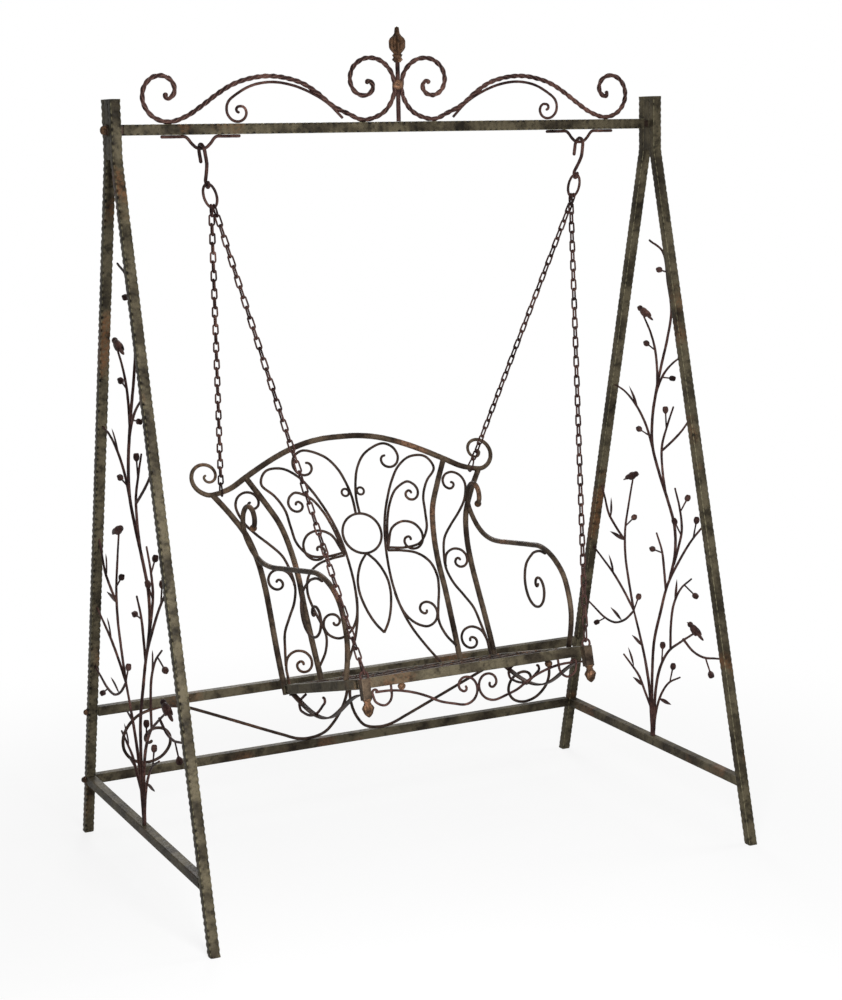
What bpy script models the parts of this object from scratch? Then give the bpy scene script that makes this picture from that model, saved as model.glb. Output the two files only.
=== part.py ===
"""Wrought iron swing chair: two leaning side frames, a top beam, and a chair hung on four chains.

Metres, +Z up. The origin is on the ground, midway between the side frames and their feet.
The chair faces -Y, and -X is its left as seen from the front.
"""

import math

import bmesh
import bpy
from mathutils import Matrix, Vector

# Clearances
GAP = 0.0003
HANG_PLAY = 0.0012
OVERRUN = 0.01
WELD = 0.00001

# Side frames
POST_TOP = 1.96
BEND_HEIGHT = 1.818
FRAME_SPACING = 1.506
FOOT_DEPTH = 1.013
TUBE = 0.025
TUBE_EDGE = 0.002
HEAD_DEPTH = 0.0766
CROSS_TOP = 0.172
UPPER_RAIL_TOP = 0.374

# Top beam and its fixing
BEAM_TOP = 1.9006
BEAM_TALL = 0.026
SHOULDER_SPACE = 0.013
SPIGOT = 0.018
SPIGOT_LENGTH = 0.028
SOCKET_DEPTH = 0.0158
BOLT_SHANK = 0.008
BOLT_PLAY = 0.001
BOLT_REACH = 0.034
BEAM_NUT = 0.028
RAIL_NUT = 0.018
WASHER = 0.0025

# Ornament on the beam
ROD = 0.012
FINIAL_TOP = 2.137
FINIAL_BASE = 2.048
FINIAL_BALL = 0.045
SCROLL_WIRE = 0.010
ARCH_WIRE = 0.008
ORNAMENT_END_SPACE = 0.0605
ORNAMENT_REACH = FRAME_SPACING / 2 - TUBE / 2 - ORNAMENT_END_SPACE

# Scrolls between the rear rails
REAR_WIRE = 0.009
REAR_END_SPACE = 0.0855
REAR_REACH = FRAME_SPACING / 2 - TUBE / 2 - REAR_END_SPACE

# Climbing stems in the side frames
STEM = 0.009
BRANCH = 0.0076
TWIG = 0.005
BUD = 0.019
BUD_LONG = 0.026
LEAF_WIDE = 0.026
LEAF_THICK = 0.007
BIRD_LONG = 0.085
BIRD_WIDE = 0.032
BIRD_HEAD = 0.026

# Hangers, hooks and rings
STRAP_ROD = 0.008
STRAP_FROM_LEG = 0.222
STRAP_SPACING = FRAME_SPACING - 2 * STRAP_FROM_LEG
STRAP_LENGTH = 0.197
STRAP_DROP = 0.0274
VALLEY_WIDE = 0.084
VALLEY_FLAT = 0.020
HOOK_WIRE = 0.009
HOOK_BEND = 0.020
HOOK_SHORT_LEG = 0.033
HOOK_DROP = 0.0865
RING_WIRE = 0.007
RING_BEND = 0.0168
RING_DROP = 0.058
RING_LEAN = 0.012
HOOK_LEAN = 0.012

# Chair
SEAT_TILT = 15.0
BACK_LEAN = 12.4
SEAT_FRONT = 0.386
SEAT_HEIGHT = 0.549
SEAT_WIDTH = 0.645
SEAT_DEPTH = 0.50
SEAT_RAIL = 0.025
SEAT_WALL = 0.0026
LATTICE_BAR = 0.012
LATTICE_PITCH = 0.078
LATTICE_THICK = 0.0035
BACK_HEIGHT = 0.70
BACK_HALF = 0.40
BACK_TUBE = 0.016
BACK_WIRE = 0.008
RING_SMALL = 0.021
CIRCLE_ACROSS = 0.115
ARM_TUBE = 0.014
ARM_HEIGHT = 0.31
ARM_BALL = 0.020
ARM_WIRE = 0.008
ARM_SPREAD = 0.024
BELLY_BAR = 0.013
BELLY_THICK = 0.004
BELLY_DROP = 0.067
APRON_WIRE = 0.007
APRON_DROP = 0.075
APRON_DEPTH_SHARE = 0.25
DROP_BALL = 0.017
DROP_PLACE = 0.206
CORNER_BLOCK = 0.028
CORNER_TALL = 0.063
CORNER_BULB = 0.029
CORNER_POINT = 0.085
EYE_WIRE = 0.006
EYE_BEND = 0.0105
EYE_RISE_SHARE = 0.6

# Chains
CHAIN_WIRE = 0.005
CHAIN_PITCH = 0.0265
CHAIN_WIDE = 0.018
CHAIN_NECK_SHARE = 0.2
TOP_LINK_WIDE = 0.021
TOP_LINK_LONG = 0.036
PEAR_LONG = 0.046
PEAR_WIDE = 0.026
PEAR_ROOM_SHARE = 1.45
CHAIN_SIDE = 0.004

# Finishes: base colour, roughness, metallic
BROWN_IRON = ((0.135, 0.105, 0.070), 0.42, 0.85)
DARK_IRON = ((0.075, 0.055, 0.045), 0.50, 0.80)
COPPER = ((0.420, 0.210, 0.120), 0.38, 0.90)
POST_IRON = ((0.260, 0.215, 0.165), 0.36, 0.90)

LEFT, RIGHT = -1, 1
SIDES = {"left": LEFT, "right": RIGHT}


# Scene helpers

def clear_scene():
    for item in list(bpy.data.objects):
        bpy.data.objects.remove(item, do_unlink=True)


def new_collection(name):
    group = bpy.data.collections.new(name)
    bpy.context.scene.collection.children.link(group)
    return group


def finish_material(name, finish):
    colour, roughness, metallic = finish
    material = bpy.data.materials.new(name)
    material.use_nodes = True
    shader = material.node_tree.nodes["Principled BSDF"]
    shader.inputs["Base Color"].default_value = (*colour, 1.0)
    shader.inputs["Roughness"].default_value = roughness
    shader.inputs["Metallic"].default_value = metallic
    return material


def add_part(name, mesh, finish, parent=None, matrix=None):
    """A finished sub-part: its own object and its own material."""
    mesh.materials.clear()
    mesh.materials.append(finish_material(name, finish))
    part = bpy.data.objects.new(name, mesh)
    PARTS.objects.link(part)
    part.parent = parent
    if matrix is not None:
        part.matrix_local = matrix
    return part


def guide(name, location, parent=None):
    """An empty that carries parts: a joint's axis, or a plane that the parts are drawn in."""
    empty = bpy.data.objects.new(name, None)
    PARTS.objects.link(empty)
    empty.empty_display_size = TUBE
    empty.location = location
    empty.parent = parent
    return empty


# Paths: lists of 2D points

def smooth(points, count):
    """A Catmull-Rom curve through the points, read at equal steps along it."""
    knots = [Vector(point) for point in points]
    knots = [knots[0] * 2 - knots[1]] + knots + [knots[-1] * 2 - knots[-2]]
    fine = []
    for i in range(1, len(knots) - 2):
        before, start, end, after = knots[i - 1:i + 3]
        for step in range(16):
            t = step / 16
            fine.append(0.5 * (2 * start + (end - before) * t
                               + (2 * before - 5 * start + 4 * end - after) * t * t
                               + (3 * start - before - 3 * end + after) * t ** 3))
    fine.append(knots[-2])
    return resample(fine, count)


def resample(points, count):
    lengths = [0.0]
    for first, second in zip(points, points[1:]):
        lengths.append(lengths[-1] + (second - first).length)
    result = []
    index = 0
    for step in range(count):
        target = lengths[-1] * step / (count - 1)
        while index < len(points) - 2 and lengths[index + 1] < target:
            index += 1
        share = (target - lengths[index]) / (lengths[index + 1] - lengths[index])
        result.append(points[index].lerp(points[index + 1], min(max(share, 0.0), 1.0)))
    return result


def curl(path, sweep, first, last, steps, heading=None):
    """Winds the path's end inwards: sweep in degrees, left turns positive, radius first to last."""
    if heading is None:
        heading = math.degrees(math.atan2(*reversed(path[-1] - path[-2])))
    points = list(path)
    step = sweep / steps
    for index in range(steps):
        radius = first + (last - first) * (index + 0.5) / steps
        middle = math.radians(heading + step * (index + 0.5))
        chord = 2 * radius * math.sin(math.radians(abs(step)) / 2)
        points.append(points[-1] + chord * Vector((math.cos(middle), math.sin(middle))))
    return points


def shares(table, across, tall):
    """Hand-chosen shares of a width and a height, as lengths."""
    return [Vector((x * across, y * tall)) for x, y in table]


def bend(centre, radius, start, end, steps):
    """A round bend whose straight steps stay outside the true circle and touch it midway."""
    turn = math.radians(end - start) / steps
    reach = radius / math.cos(turn / 2)
    points = []
    for index in range(steps):
        angle = math.radians(start) + turn * (index + 0.5)
        points.append(Vector(centre) + reach * Vector((math.cos(angle), math.sin(angle))))
    return points


def across_x(points, y=0.0):
    """Drawn in the plane that faces the front: x and z."""
    return [Vector((point[0], y, point[1])) for point in points]


def along_y(points, x=0.0):
    """Drawn in the plane of a side: y and z."""
    return [Vector((x, point[0], point[1])) for point in points]


def mirrored_path(points, side):
    return [Vector((point[0] * side, *point[1:])) for point in points]


# Solids

def evaluated_mesh(item):
    """The item's finished mesh, with its place applied; the item itself is removed."""
    bpy.context.view_layer.update()
    graph = bpy.context.evaluated_depsgraph_get()
    mesh = bpy.data.meshes.new_from_object(item.evaluated_get(graph))
    mesh.transform(item.matrix_world)
    bpy.data.objects.remove(item, do_unlink=True)
    work = bmesh.new()
    work.from_mesh(mesh)
    bmesh.ops.remove_doubles(work, verts=work.verts, dist=WELD)
    bmesh.ops.dissolve_degenerate(work, dist=WELD, edges=work.edges)
    work.to_mesh(mesh)
    work.free()
    return mesh


def smooth_sides(mesh):
    mesh.shade_smooth()
    mesh.set_sharp_from_angle(angle=math.radians(50))
    return mesh


def bar(points, thickness, roundness=0, closed=False):
    """A round bar or wire along the points, with 4 + 2 x roundness sides."""
    data = bpy.data.curves.new("bar", "CURVE")
    data.dimensions = "3D"
    data.twist_mode = "MINIMUM"
    data.bevel_depth = thickness / 2
    data.bevel_resolution = roundness
    data.use_fill_caps = True
    line = data.splines.new("POLY")
    line.points.add(len(points) - 1)
    for spot, point in zip(line.points, points):
        spot.co = (*point, 1.0)
    line.use_cyclic_u = closed
    item = bpy.data.objects.new("bar", data)
    WORK.objects.link(item)
    return smooth_sides(evaluated_mesh(item))


def plate(outline, thickness, edge=0.0):
    """A flat outline drawn in y and z, as thick as given along x and centred on x = 0."""
    data = bpy.data.curves.new("plate", "CURVE")
    data.dimensions = "2D"
    data.fill_mode = "BOTH"
    data.extrude = thickness / 2
    line = data.splines.new("POLY")
    line.points.add(len(outline) - 1)
    for spot, point in zip(line.points, outline):
        spot.co = (point[0], point[1], 0.0, 1.0)
    line.use_cyclic_u = True
    item = bpy.data.objects.new("plate", data)
    WORK.objects.link(item)
    item.matrix_world = Matrix(((0, 0, 1, 0), (1, 0, 0, 0), (0, 1, 0, 0), (0, 0, 0, 1)))
    mesh = evaluated_mesh(item)
    return bevelled(mesh, edge) if edge else mesh


def bevelled(mesh, edge):
    work = bmesh.new()
    work.from_mesh(mesh)
    bmesh.ops.dissolve_limit(work, angle_limit=math.radians(1), verts=work.verts, edges=work.edges)
    bmesh.ops.bevel(work, geom=list(work.edges), offset=edge, offset_type="OFFSET", segments=1,
                    profile=0.5, affect="EDGES", clamp_overlap=True)
    bmesh.ops.triangulate(work, faces=work.faces)
    work.to_mesh(mesh)
    work.free()
    return mesh


def block(size, centre, edge=0.0):
    work = bmesh.new()
    bmesh.ops.create_cube(work, size=1.0)
    bmesh.ops.scale(work, vec=size, verts=work.verts)
    bmesh.ops.translate(work, vec=centre, verts=work.verts)
    mesh = bpy.data.meshes.new("block")
    work.to_mesh(mesh)
    work.free()
    return bevelled(mesh, edge) if edge else mesh


def rod(diameter, length, centre, axis="Z", sides=10):
    work = bmesh.new()
    bmesh.ops.create_cone(work, cap_ends=True, segments=sides, radius1=diameter / 2,
                          radius2=diameter / 2, depth=length)
    turn = {"X": Matrix.Rotation(math.pi / 2, 4, "Y"), "Y": Matrix.Rotation(math.pi / 2, 4, "X"),
            "Z": Matrix.Identity(4)}[axis]
    bmesh.ops.transform(work, matrix=Matrix.Translation(centre) @ turn, verts=work.verts)
    mesh = bpy.data.meshes.new("rod")
    work.to_mesh(mesh)
    work.free()
    return mesh


def ball(size, centre, across=8, rings=6, turn=None):
    """A sphere stretched to the size, a bud, a leaf or a body when it has few faces."""
    work = bmesh.new()
    bmesh.ops.create_uvsphere(work, u_segments=across, v_segments=rings, radius=0.5)
    bmesh.ops.scale(work, vec=size, verts=work.verts)
    place = Matrix.Translation(centre)
    if turn is not None:
        place = place @ turn.to_4x4()
    bmesh.ops.transform(work, matrix=place, verts=work.verts)
    mesh = bpy.data.meshes.new("ball")
    work.to_mesh(mesh)
    work.free()
    return mesh


def turned(profile, steps, matrix=None):
    """A lathe-turned solid: radius and height pairs from the top down."""
    mesh = bpy.data.meshes.new("profile")
    points = [(radius, 0.0, height) for radius, height in profile]
    mesh.from_pydata(points, [(i, i + 1) for i in range(len(points) - 1)], [])
    item = bpy.data.objects.new("turned", mesh)
    WORK.objects.link(item)
    screw = item.modifiers.new("Screw", "SCREW")
    screw.steps = steps
    screw.render_steps = steps
    screw.use_merge_vertices = True
    screw.merge_threshold = WELD
    if matrix is not None:
        item.matrix_world = matrix
    return smooth_sides(evaluated_mesh(item))


def combine(meshes, operation, tools):
    """Exact Boolean of the first mesh with the tools."""
    item = bpy.data.objects.new("work", meshes[0])
    WORK.objects.link(item)
    group = bpy.data.collections.new("tools")
    cutters = []
    for mesh in tools:
        cutter = bpy.data.objects.new("tool", mesh)
        cutter.hide_render = True
        cutter.display_type = "WIRE"
        group.objects.link(cutter)
        CUTTERS.objects.link(cutter)
        cutters.append(cutter)
    modifier = item.modifiers.new("Boolean", "BOOLEAN")
    modifier.operation = operation
    modifier.solver = "EXACT"
    modifier.operand_type = "COLLECTION"
    modifier.collection = group
    result = evaluated_mesh(item)
    for cutter in cutters:
        bpy.data.objects.remove(cutter, do_unlink=True)
    bpy.data.collections.remove(group)
    return result


def fuse(meshes):
    return combine(meshes, "UNION", meshes[1:]) if len(meshes) > 1 else meshes[0]


def cut(mesh, tools):
    return combine([mesh], "DIFFERENCE", tools)


def flipped_x(mesh):
    """The same solid for the other hand."""
    copy = mesh.copy()
    copy.transform(Matrix.Scale(-1, 4, (1, 0, 0)))
    copy.flip_normals()
    return copy


def moved(mesh, offset):
    copy = mesh.copy()
    copy.transform(Matrix.Translation(offset))
    return copy


# Side frames

def leg_middle(height):
    """Distance of a leg's middle from the frame's centre plane: straight from foot to bend."""
    foot = (FOOT_DEPTH - TUBE) / 2
    head = (HEAD_DEPTH - TUBE) / 2
    return foot + (head - foot) * min(height / BEND_HEIGHT, 1.0)


def leg_outline(grow=0.0):
    """A rear leg seen from the side, from the sole up to the flat top."""
    half = TUBE / 2 + grow
    corners = []
    for height in (-grow, BEND_HEIGHT, POST_TOP + grow):
        corners.append((leg_middle(max(height, 0.0)) - half, height))
    for height in (POST_TOP + grow, BEND_HEIGHT, -grow):
        corners.append((leg_middle(max(height, 0.0)) + half, height))
    return corners


def rail_middle(top):
    """Height and depth of a cross rail's middle between the rear legs."""
    height = top - TUBE / 2
    return leg_middle(height), height


def build_legs():
    inner_face = FRAME_SPACING / 2 - TUBE / 2
    for side_name, side in SIDES.items():
        for end_name, end in (("front", -1), ("rear", 1)):
            outline = [(y * end, z) for y, z in leg_outline()]
            mesh = plate(outline, TUBE, TUBE_EDGE)
            if end == 1:
                holes = []
                for top in (CROSS_TOP, UPPER_RAIL_TOP):
                    depth, height = rail_middle(top)
                    holes.append(rod(BOLT_SHANK + BOLT_PLAY, TUBE + OVERRUN, (0, depth, height), "X"))
                mesh = cut(mesh, holes)
            place = Matrix.Translation((side * (inner_face + TUBE / 2), 0, 0))
            add_part(f"leg_{end_name}_{side_name}", mesh, BROWN_IRON, matrix=place)


def build_stretchers():
    bottom = CROSS_TOP - TUBE
    outline = []
    for height, end in ((bottom, -1), (bottom, 1), (CROSS_TOP, 1), (CROSS_TOP, -1)):
        outline.append((end * (leg_middle(height) - TUBE / 2 - GAP), height))
    for side_name, side in SIDES.items():
        mesh = plate(outline, TUBE, TUBE_EDGE)
        place = Matrix.Translation((side * FRAME_SPACING / 2, 0, 0))
        add_part(f"stretcher_{side_name}", mesh, BROWN_IRON, matrix=place)


def build_heads():
    """The spacer between the two upright tube ends, with the socket that takes the beam."""
    deep = HEAD_DEPTH - 2 * TUBE - 2 * GAP
    tall = POST_TOP - BEND_HEIGHT
    beam_middle = BEAM_TOP - BEAM_TALL / 2
    for side_name, side in SIDES.items():
        centre = side * FRAME_SPACING / 2
        mesh = block((TUBE, deep, tall), (0, 0, BEND_HEIGHT + tall / 2))
        inner = -side * TUBE / 2
        socket_middle = inner + side * (SOCKET_DEPTH - OVERRUN) / 2
        socket = block((SOCKET_DEPTH + OVERRUN, SPIGOT + 2 * GAP, SPIGOT + 2 * GAP),
                       (socket_middle, 0, beam_middle))
        hole = rod(BOLT_SHANK + BOLT_PLAY, TUBE + OVERRUN, (0, 0, beam_middle), "X")
        mesh = cut(cut(mesh, [socket]), [hole])
        add_part(f"head_block_{side_name}", mesh, BROWN_IRON,
                 matrix=Matrix.Translation((centre, 0, 0)))


def build_beam():
    middle = BEAM_TOP - BEAM_TALL / 2
    inner_face = FRAME_SPACING / 2 - TUBE / 2
    length = 2 * (inner_face - SHOULDER_SPACE)
    reach = length + 2 * SPIGOT_LENGTH
    mesh = fuse([block((length, TUBE, BEAM_TALL), (0, 0, middle), TUBE_EDGE),
                 block((reach, SPIGOT, SPIGOT), (0, 0, middle))])
    holes = []
    for side in SIDES.values():
        holes.append(rod(BOLT_SHANK + BOLT_PLAY, 2 * SPIGOT_LENGTH, (side * reach / 2, 0, middle), "X"))
    add_part("top_beam", cut(mesh, holes), BROWN_IRON)


def build_rear_rails():
    inner_face = FRAME_SPACING / 2 - TUBE / 2
    length = 2 * (inner_face - GAP)
    for name, top in (("rear_rail_lower", CROSS_TOP), ("rear_rail_upper", UPPER_RAIL_TOP)):
        depth, height = rail_middle(top)
        mesh = block((length, TUBE, TUBE), (0, depth, height), TUBE_EDGE)
        holes = []
        for side in SIDES.values():
            holes.append(rod(BOLT_SHANK + BOLT_PLAY, 2 * BOLT_REACH, (side * inner_face, depth, height), "X"))
        add_part(name, cut(mesh, holes), BROWN_IRON)


def bolt_profile(nut, reach):
    """Domed nut on a washer, and the bolt's shank behind it; the washer's seat is at height zero."""
    return ((0, WASHER + nut * 0.5), (nut * 0.22, WASHER + nut * 0.46), (nut * 0.38, WASHER + nut * 0.3),
            (nut * 0.44, WASHER), (nut / 2, WASHER), (nut / 2, GAP), (BOLT_SHANK / 2, GAP),
            (BOLT_SHANK / 2, -reach), (0, -reach))


def build_bolts():
    outer_face = FRAME_SPACING / 2 + TUBE / 2
    beam_height = BEAM_TOP - BEAM_TALL / 2
    places = {"beam": (BEAM_NUT, 0.0, beam_height, TUBE)}
    for name, top in (("lower", CROSS_TOP), ("upper", UPPER_RAIL_TOP)):
        places[name] = (RAIL_NUT, *rail_middle(top), BOLT_REACH)
    for place_name, (nut, depth, height, reach) in places.items():
        for side_name, side in SIDES.items():
            turn = Matrix.Rotation(side * math.pi / 2, 4, "Y")
            spot = Matrix.Translation((side * outer_face, depth, height))
            mesh = turned(bolt_profile(nut, reach), 8)
            add_part(f"bolt_{place_name}_{side_name}", mesh, COPPER, matrix=spot @ turn)


# Ornament on the beam

TOP_SCROLL_SHARES = ((0.906, 0.0), (0.794, 0.18), (0.66, 0.385), (0.52, 0.458), (0.38, 0.37),
                     (0.262, 0.13), (0.147, 0.0))
TOP_ARCH_SHARES = ((0.235, 0.0), (0.266, 0.10), (0.325, 0.21), (0.40, 0.315), (0.50, 0.375),
                   (0.60, 0.33), (0.66, 0.23))


def build_top_ornament():
    rise = FINIAL_TOP - BEAM_TOP
    base = BEAM_TOP + SCROLL_WIRE / 2 + GAP
    body = smooth(shares(TOP_SCROLL_SHARES, ORNAMENT_REACH, rise), 13)
    inner = curl(body, -500, ORNAMENT_REACH * 0.135, ORNAMENT_REACH * 0.012, 13, heading=180)
    outer = curl([inner[0]], 330, ORNAMENT_REACH * 0.101, ORNAMENT_REACH * 0.026, 9, heading=0)
    path = list(reversed(outer[1:])) + inner
    nearest = min(point.x for point in path)
    shift = ROD / 2 + SCROLL_WIRE / 2 + GAP - nearest
    scroll = bar(across_x([point + Vector((shift, base)) for point in path]), SCROLL_WIRE)
    arch_body = smooth(shares(TOP_ARCH_SHARES, ORNAMENT_REACH, rise), 7)
    arch = curl(arch_body, -350, ORNAMENT_REACH * 0.055, ORNAMENT_REACH * 0.015, 9)
    lowest = min(point.y for point in arch)
    arch_base = BEAM_TOP + ARCH_WIRE / 2 + GAP - min(lowest, 0.0)
    arch_bar = bar(across_x([point + Vector((shift, arch_base)) for point in arch]), ARCH_WIRE)
    mesh = fuse([scroll, arch_bar])
    add_part("top_scroll_right", mesh, BROWN_IRON)
    add_part("top_scroll_left", flipped_x(mesh), BROWN_IRON)


def build_finial():
    length = FINIAL_BASE - BEAM_TOP - 2 * GAP
    middle = (FINIAL_BASE + BEAM_TOP) / 2
    add_part("centre_rod", rod(ROD, length, (0, 0, middle)), BROWN_IRON)
    radius = FINIAL_BALL / 2
    ball_middle = FINIAL_TOP - FINIAL_BALL
    profile = [(0, FINIAL_TOP), (radius * 0.16, FINIAL_TOP - radius * 0.3),
               (radius * 0.3, ball_middle + radius * 1.05)]
    for step in range(1, 6):
        angle = math.radians(90 - 30 * step)
        profile.append((radius * math.cos(angle), ball_middle + radius * math.sin(angle)))
    profile += [(radius * 0.42, ball_middle - radius * 1.1), (radius * 0.7, ball_middle - radius * 1.35),
                (radius * 0.42, ball_middle - radius * 1.6), (radius * 0.6, FINIAL_BASE),
                (0, FINIAL_BASE)]
    add_part("top_finial", turned(profile, 10), COPPER)


# Scrolls between the rear rails

REAR_SCROLL_SHARES = ((0.012, 1.02), (0.010, 0.62), (0.075, 0.13), (0.162, 0.0), (0.24, 0.05),
                      (0.70, 0.86), (0.80, 0.985), (0.87, 1.0))


def build_rear_scrolls():
    low_depth, low_height = rail_middle(CROSS_TOP)
    high_depth, high_height = rail_middle(UPPER_RAIL_TOP)
    tilt = math.atan2(low_depth - high_depth, high_height - low_height)
    clear = (high_height - low_height - TUBE) / math.cos(tilt)
    tall = clear - REAR_WIRE - 2 * GAP
    body = smooth(shares(REAR_SCROLL_SHARES, REAR_REACH, tall), 17)
    path = curl(body, -500, REAR_REACH * 0.152, REAR_REACH * 0.018, 14, heading=0)
    nearest = min(point.x for point in path)
    shift = REAR_WIRE / 2 + GAP / 2 - nearest
    points = []
    for point in path:
        height = min(max(point.y, 0.0), tall) - tall / 2
        points.append(Vector((point.x + shift, height)))
    mesh = bar(across_x(points), REAR_WIRE)
    growth = 2 * GAP
    rail = block((FRAME_SPACING, TUBE + growth, TUBE + growth), (0, 0, 0))
    place = Matrix.Translation((0, (low_depth + high_depth) / 2, (low_height + high_height) / 2))
    tilted = place @ Matrix.Rotation(tilt, 4, "X")
    tools = []
    for depth, height in ((low_depth, low_height), (high_depth, high_height)):
        tool = moved(rail, (0, depth, height))
        tool.transform(tilted.inverted())
        tools.append(tool)
    mesh = cut(mesh, tools)
    add_part("rear_scroll_right", mesh, BROWN_IRON, matrix=tilted)
    add_part("rear_scroll_left", flipped_x(mesh), BROWN_IRON, matrix=tilted)


# Climbing stems in the side frames, as shares of half the foot depth and of the bend's height

TRUNK_SHARES = (
    ((-0.02, 0.09), (0.016, 0.176), (0.089, 0.234), (0.174, 0.284)),
    ((-0.014, 0.09), (-0.022, 0.215), (-0.055, 0.26), (-0.158, 0.333), (-0.219, 0.362),
     (-0.40, 0.421), (-0.553, 0.458)),
    ((-0.028, 0.09), (-0.060, 0.18), (-0.116, 0.215), (-0.20, 0.243), (-0.424, 0.281)),
    ((-0.197, 0.354), (-0.259, 0.408), (-0.241, 0.44), (-0.156, 0.485), (-0.028, 0.548),
     (-0.03, 0.607), (-0.128, 0.691), (-0.209, 0.75), (-0.188, 0.787), (-0.142, 0.842),
     (-0.079, 0.861), (0.004, 0.865)),
)
BRANCH_SHARES = (
    ((0.174, 0.284), (0.276, 0.309), (0.395, 0.333), (0.628, 0.368)),
    ((0.174, 0.284), (0.251, 0.352), (0.267, 0.391), (0.253, 0.424), (0.182, 0.492)),
    ((0.267, 0.392), (0.421, 0.421), (0.466, 0.443), (0.54, 0.482)),
    ((0.174, 0.283), (0.227, 0.271), (0.302, 0.26), (0.45, 0.252), (0.72, 0.276)),
    ((0.002, 0.141), (0.075, 0.166), (0.128, 0.183), (0.282, 0.206)),
    ((-0.158, 0.333), (-0.122, 0.391), (-0.065, 0.419)),
    ((-0.237, 0.378), (-0.312, 0.43), (-0.30, 0.463), (-0.249, 0.496)),
    ((-0.028, 0.548), (0.055, 0.587), (0.211, 0.623), (0.40, 0.638)),
    ((-0.156, 0.485), (-0.122, 0.523), (-0.124, 0.561), (-0.231, 0.619)),
    ((-0.125, 0.55), (-0.292, 0.581), (-0.407, 0.611)),
    ((-0.072, 0.645), (-0.063, 0.689), (-0.012, 0.723), (0.063, 0.749)),
    ((-0.03, 0.612), (-0.079, 0.645), (-0.178, 0.677), (-0.335, 0.70)),
    ((-0.33, 0.268), (-0.401, 0.258), (-0.50, 0.251), (-0.735, 0.262)),
    ((-0.034, 0.09), (-0.060, 0.136), (-0.148, 0.181), (-0.30, 0.206)),
    ((-0.205, 0.243), (-0.211, 0.285), (-0.263, 0.332), (-0.409, 0.365)),
)
LEAF_SHARES = (
    ((0.389, 0.331), (0.444, 0.361)), ((0.421, 0.421), (0.415, 0.455)), ((0.275, 0.392), (0.432, 0.399)),
    ((0.302, 0.26), (0.43, 0.275)), ((0.174, 0.193), (0.237, 0.221)), ((0.08, 0.168), (0.188, 0.175)),
    ((0.085, 0.232), (0.199, 0.243)), ((0.124, 0.605), (0.219, 0.639)),
    ((-0.088, 0.158), (-0.215, 0.157)), ((-0.245, 0.322), (-0.268, 0.358)),
)
BUD_SHARES = (
    ((0.256, 0.416), (0.174, 0.432)), ((0.174, 0.284), (0.126, 0.307)), ((0.494, 0.253), (0.575, 0.242)),
    ((-0.426, 0.428), (-0.456, 0.455)), ((-0.122, 0.391), (-0.03, 0.392)),
    ((-0.31, 0.427), (-0.249, 0.444)), ((-0.302, 0.463), (-0.367, 0.485)),
    ((-0.547, 0.252), (-0.596, 0.231)), ((-0.116, 0.215), (-0.126, 0.244)),
    ((-0.199, 0.192), (-0.229, 0.217)), ((-0.345, 0.352), (-0.442, 0.342)),
    ((0.014, 0.568), (0.107, 0.574)), ((-0.055, 0.70), (0.03, 0.708)),
    ((-0.128, 0.661), (-0.215, 0.662)), ((-0.162, 0.82), (-0.099, 0.822)),
    ((-0.162, 0.586), (-0.154, 0.611)),
)
BIRD_SHARES = (((0.19, 0.498), (0.115, 0.50)), ((-0.44, 0.289), (-0.365, 0.293)),
               ((0.06, 0.756), (0.11, 0.758)))


def pointing(direction):
    """Turns a solid's long axis, Z, to the direction in the plane of the side."""
    return Vector((0, 0, 1)).rotation_difference(direction).to_matrix()


def bud_solid(start, end):
    """A bud and its twig, turned as one piece along the line from the stem."""
    long = (end - start).length
    profile = ((0, long + BUD_LONG / 2), (BUD / 2, long), (TWIG / 2, long - BUD_LONG / 2), (TWIG / 2, 0), (0, -TWIG))
    place = Matrix.Translation(start) @ pointing((end - start).normalized()).to_4x4()
    return turned(profile, 4, place)


def bird_solids(body, ahead):
    """A small perched bird: a body, a round head at its front and a flat tail behind."""
    middle, front = along_y([body, ahead])
    toward = (front - middle).normalized()
    turn = pointing(toward)
    tail = middle - toward * BIRD_LONG * 0.5
    head = middle + toward * BIRD_LONG * 0.33 + Vector((0, 0, BIRD_HEAD * 0.35))
    return [ball((BIRD_WIDE * 0.8, BIRD_WIDE, BIRD_LONG * 0.62), middle, 6, 4, turn),
            ball((BIRD_HEAD, BIRD_HEAD, BIRD_HEAD), head, 5, 3),
            ball((BIRD_WIDE * 0.5, BIRD_WIDE * 0.35, BIRD_LONG * 0.6), tail, 4, 2, turn)]


def build_stem_panels():
    reach = FOOT_DEPTH / 2
    solids = []
    for table, thickness, count in ((TRUNK_SHARES, STEM, 2), (BRANCH_SHARES, BRANCH, 1)):
        for index, stem in enumerate(table):
            points = smooth(shares(stem, reach, BEND_HEIGHT), len(stem) + count)
            uneven = thickness * (1 - 0.015 * index)
            solids.append(bar(along_y(points), uneven))
    for foot, tip in LEAF_SHARES:
        start, end = along_y(shares((foot, tip), reach, BEND_HEIGHT))
        turn = pointing((end - start).normalized())
        long = (end - start).length + BRANCH
        solids.append(ball((LEAF_THICK, LEAF_WIDE, long), start.lerp(end, 0.5), 4, 2, turn))
    for foot, tip in BUD_SHARES:
        solids.append(bud_solid(*along_y(shares((foot, tip), reach, BEND_HEIGHT))))
    for bird in BIRD_SHARES:
        solids += bird_solids(*shares(bird, reach, BEND_HEIGHT))
    mesh = fuse(solids)
    thick = 2 * TUBE
    rear = plate(leg_outline(GAP), thick)
    front = plate([(-y, z) for y, z in leg_outline(GAP)], thick)
    cross = block((thick, FOOT_DEPTH, TUBE + 2 * GAP), (0, 0, CROSS_TOP - TUBE / 2))
    mesh = cut(mesh, [rear, front, cross])
    for side_name, side in SIDES.items():
        copy = mesh.copy()
        place = Matrix.Translation((side * FRAME_SPACING / 2, 0, 0))
        add_part(f"climbing_stems_{side_name}", copy, DARK_IRON, matrix=place)


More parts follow.
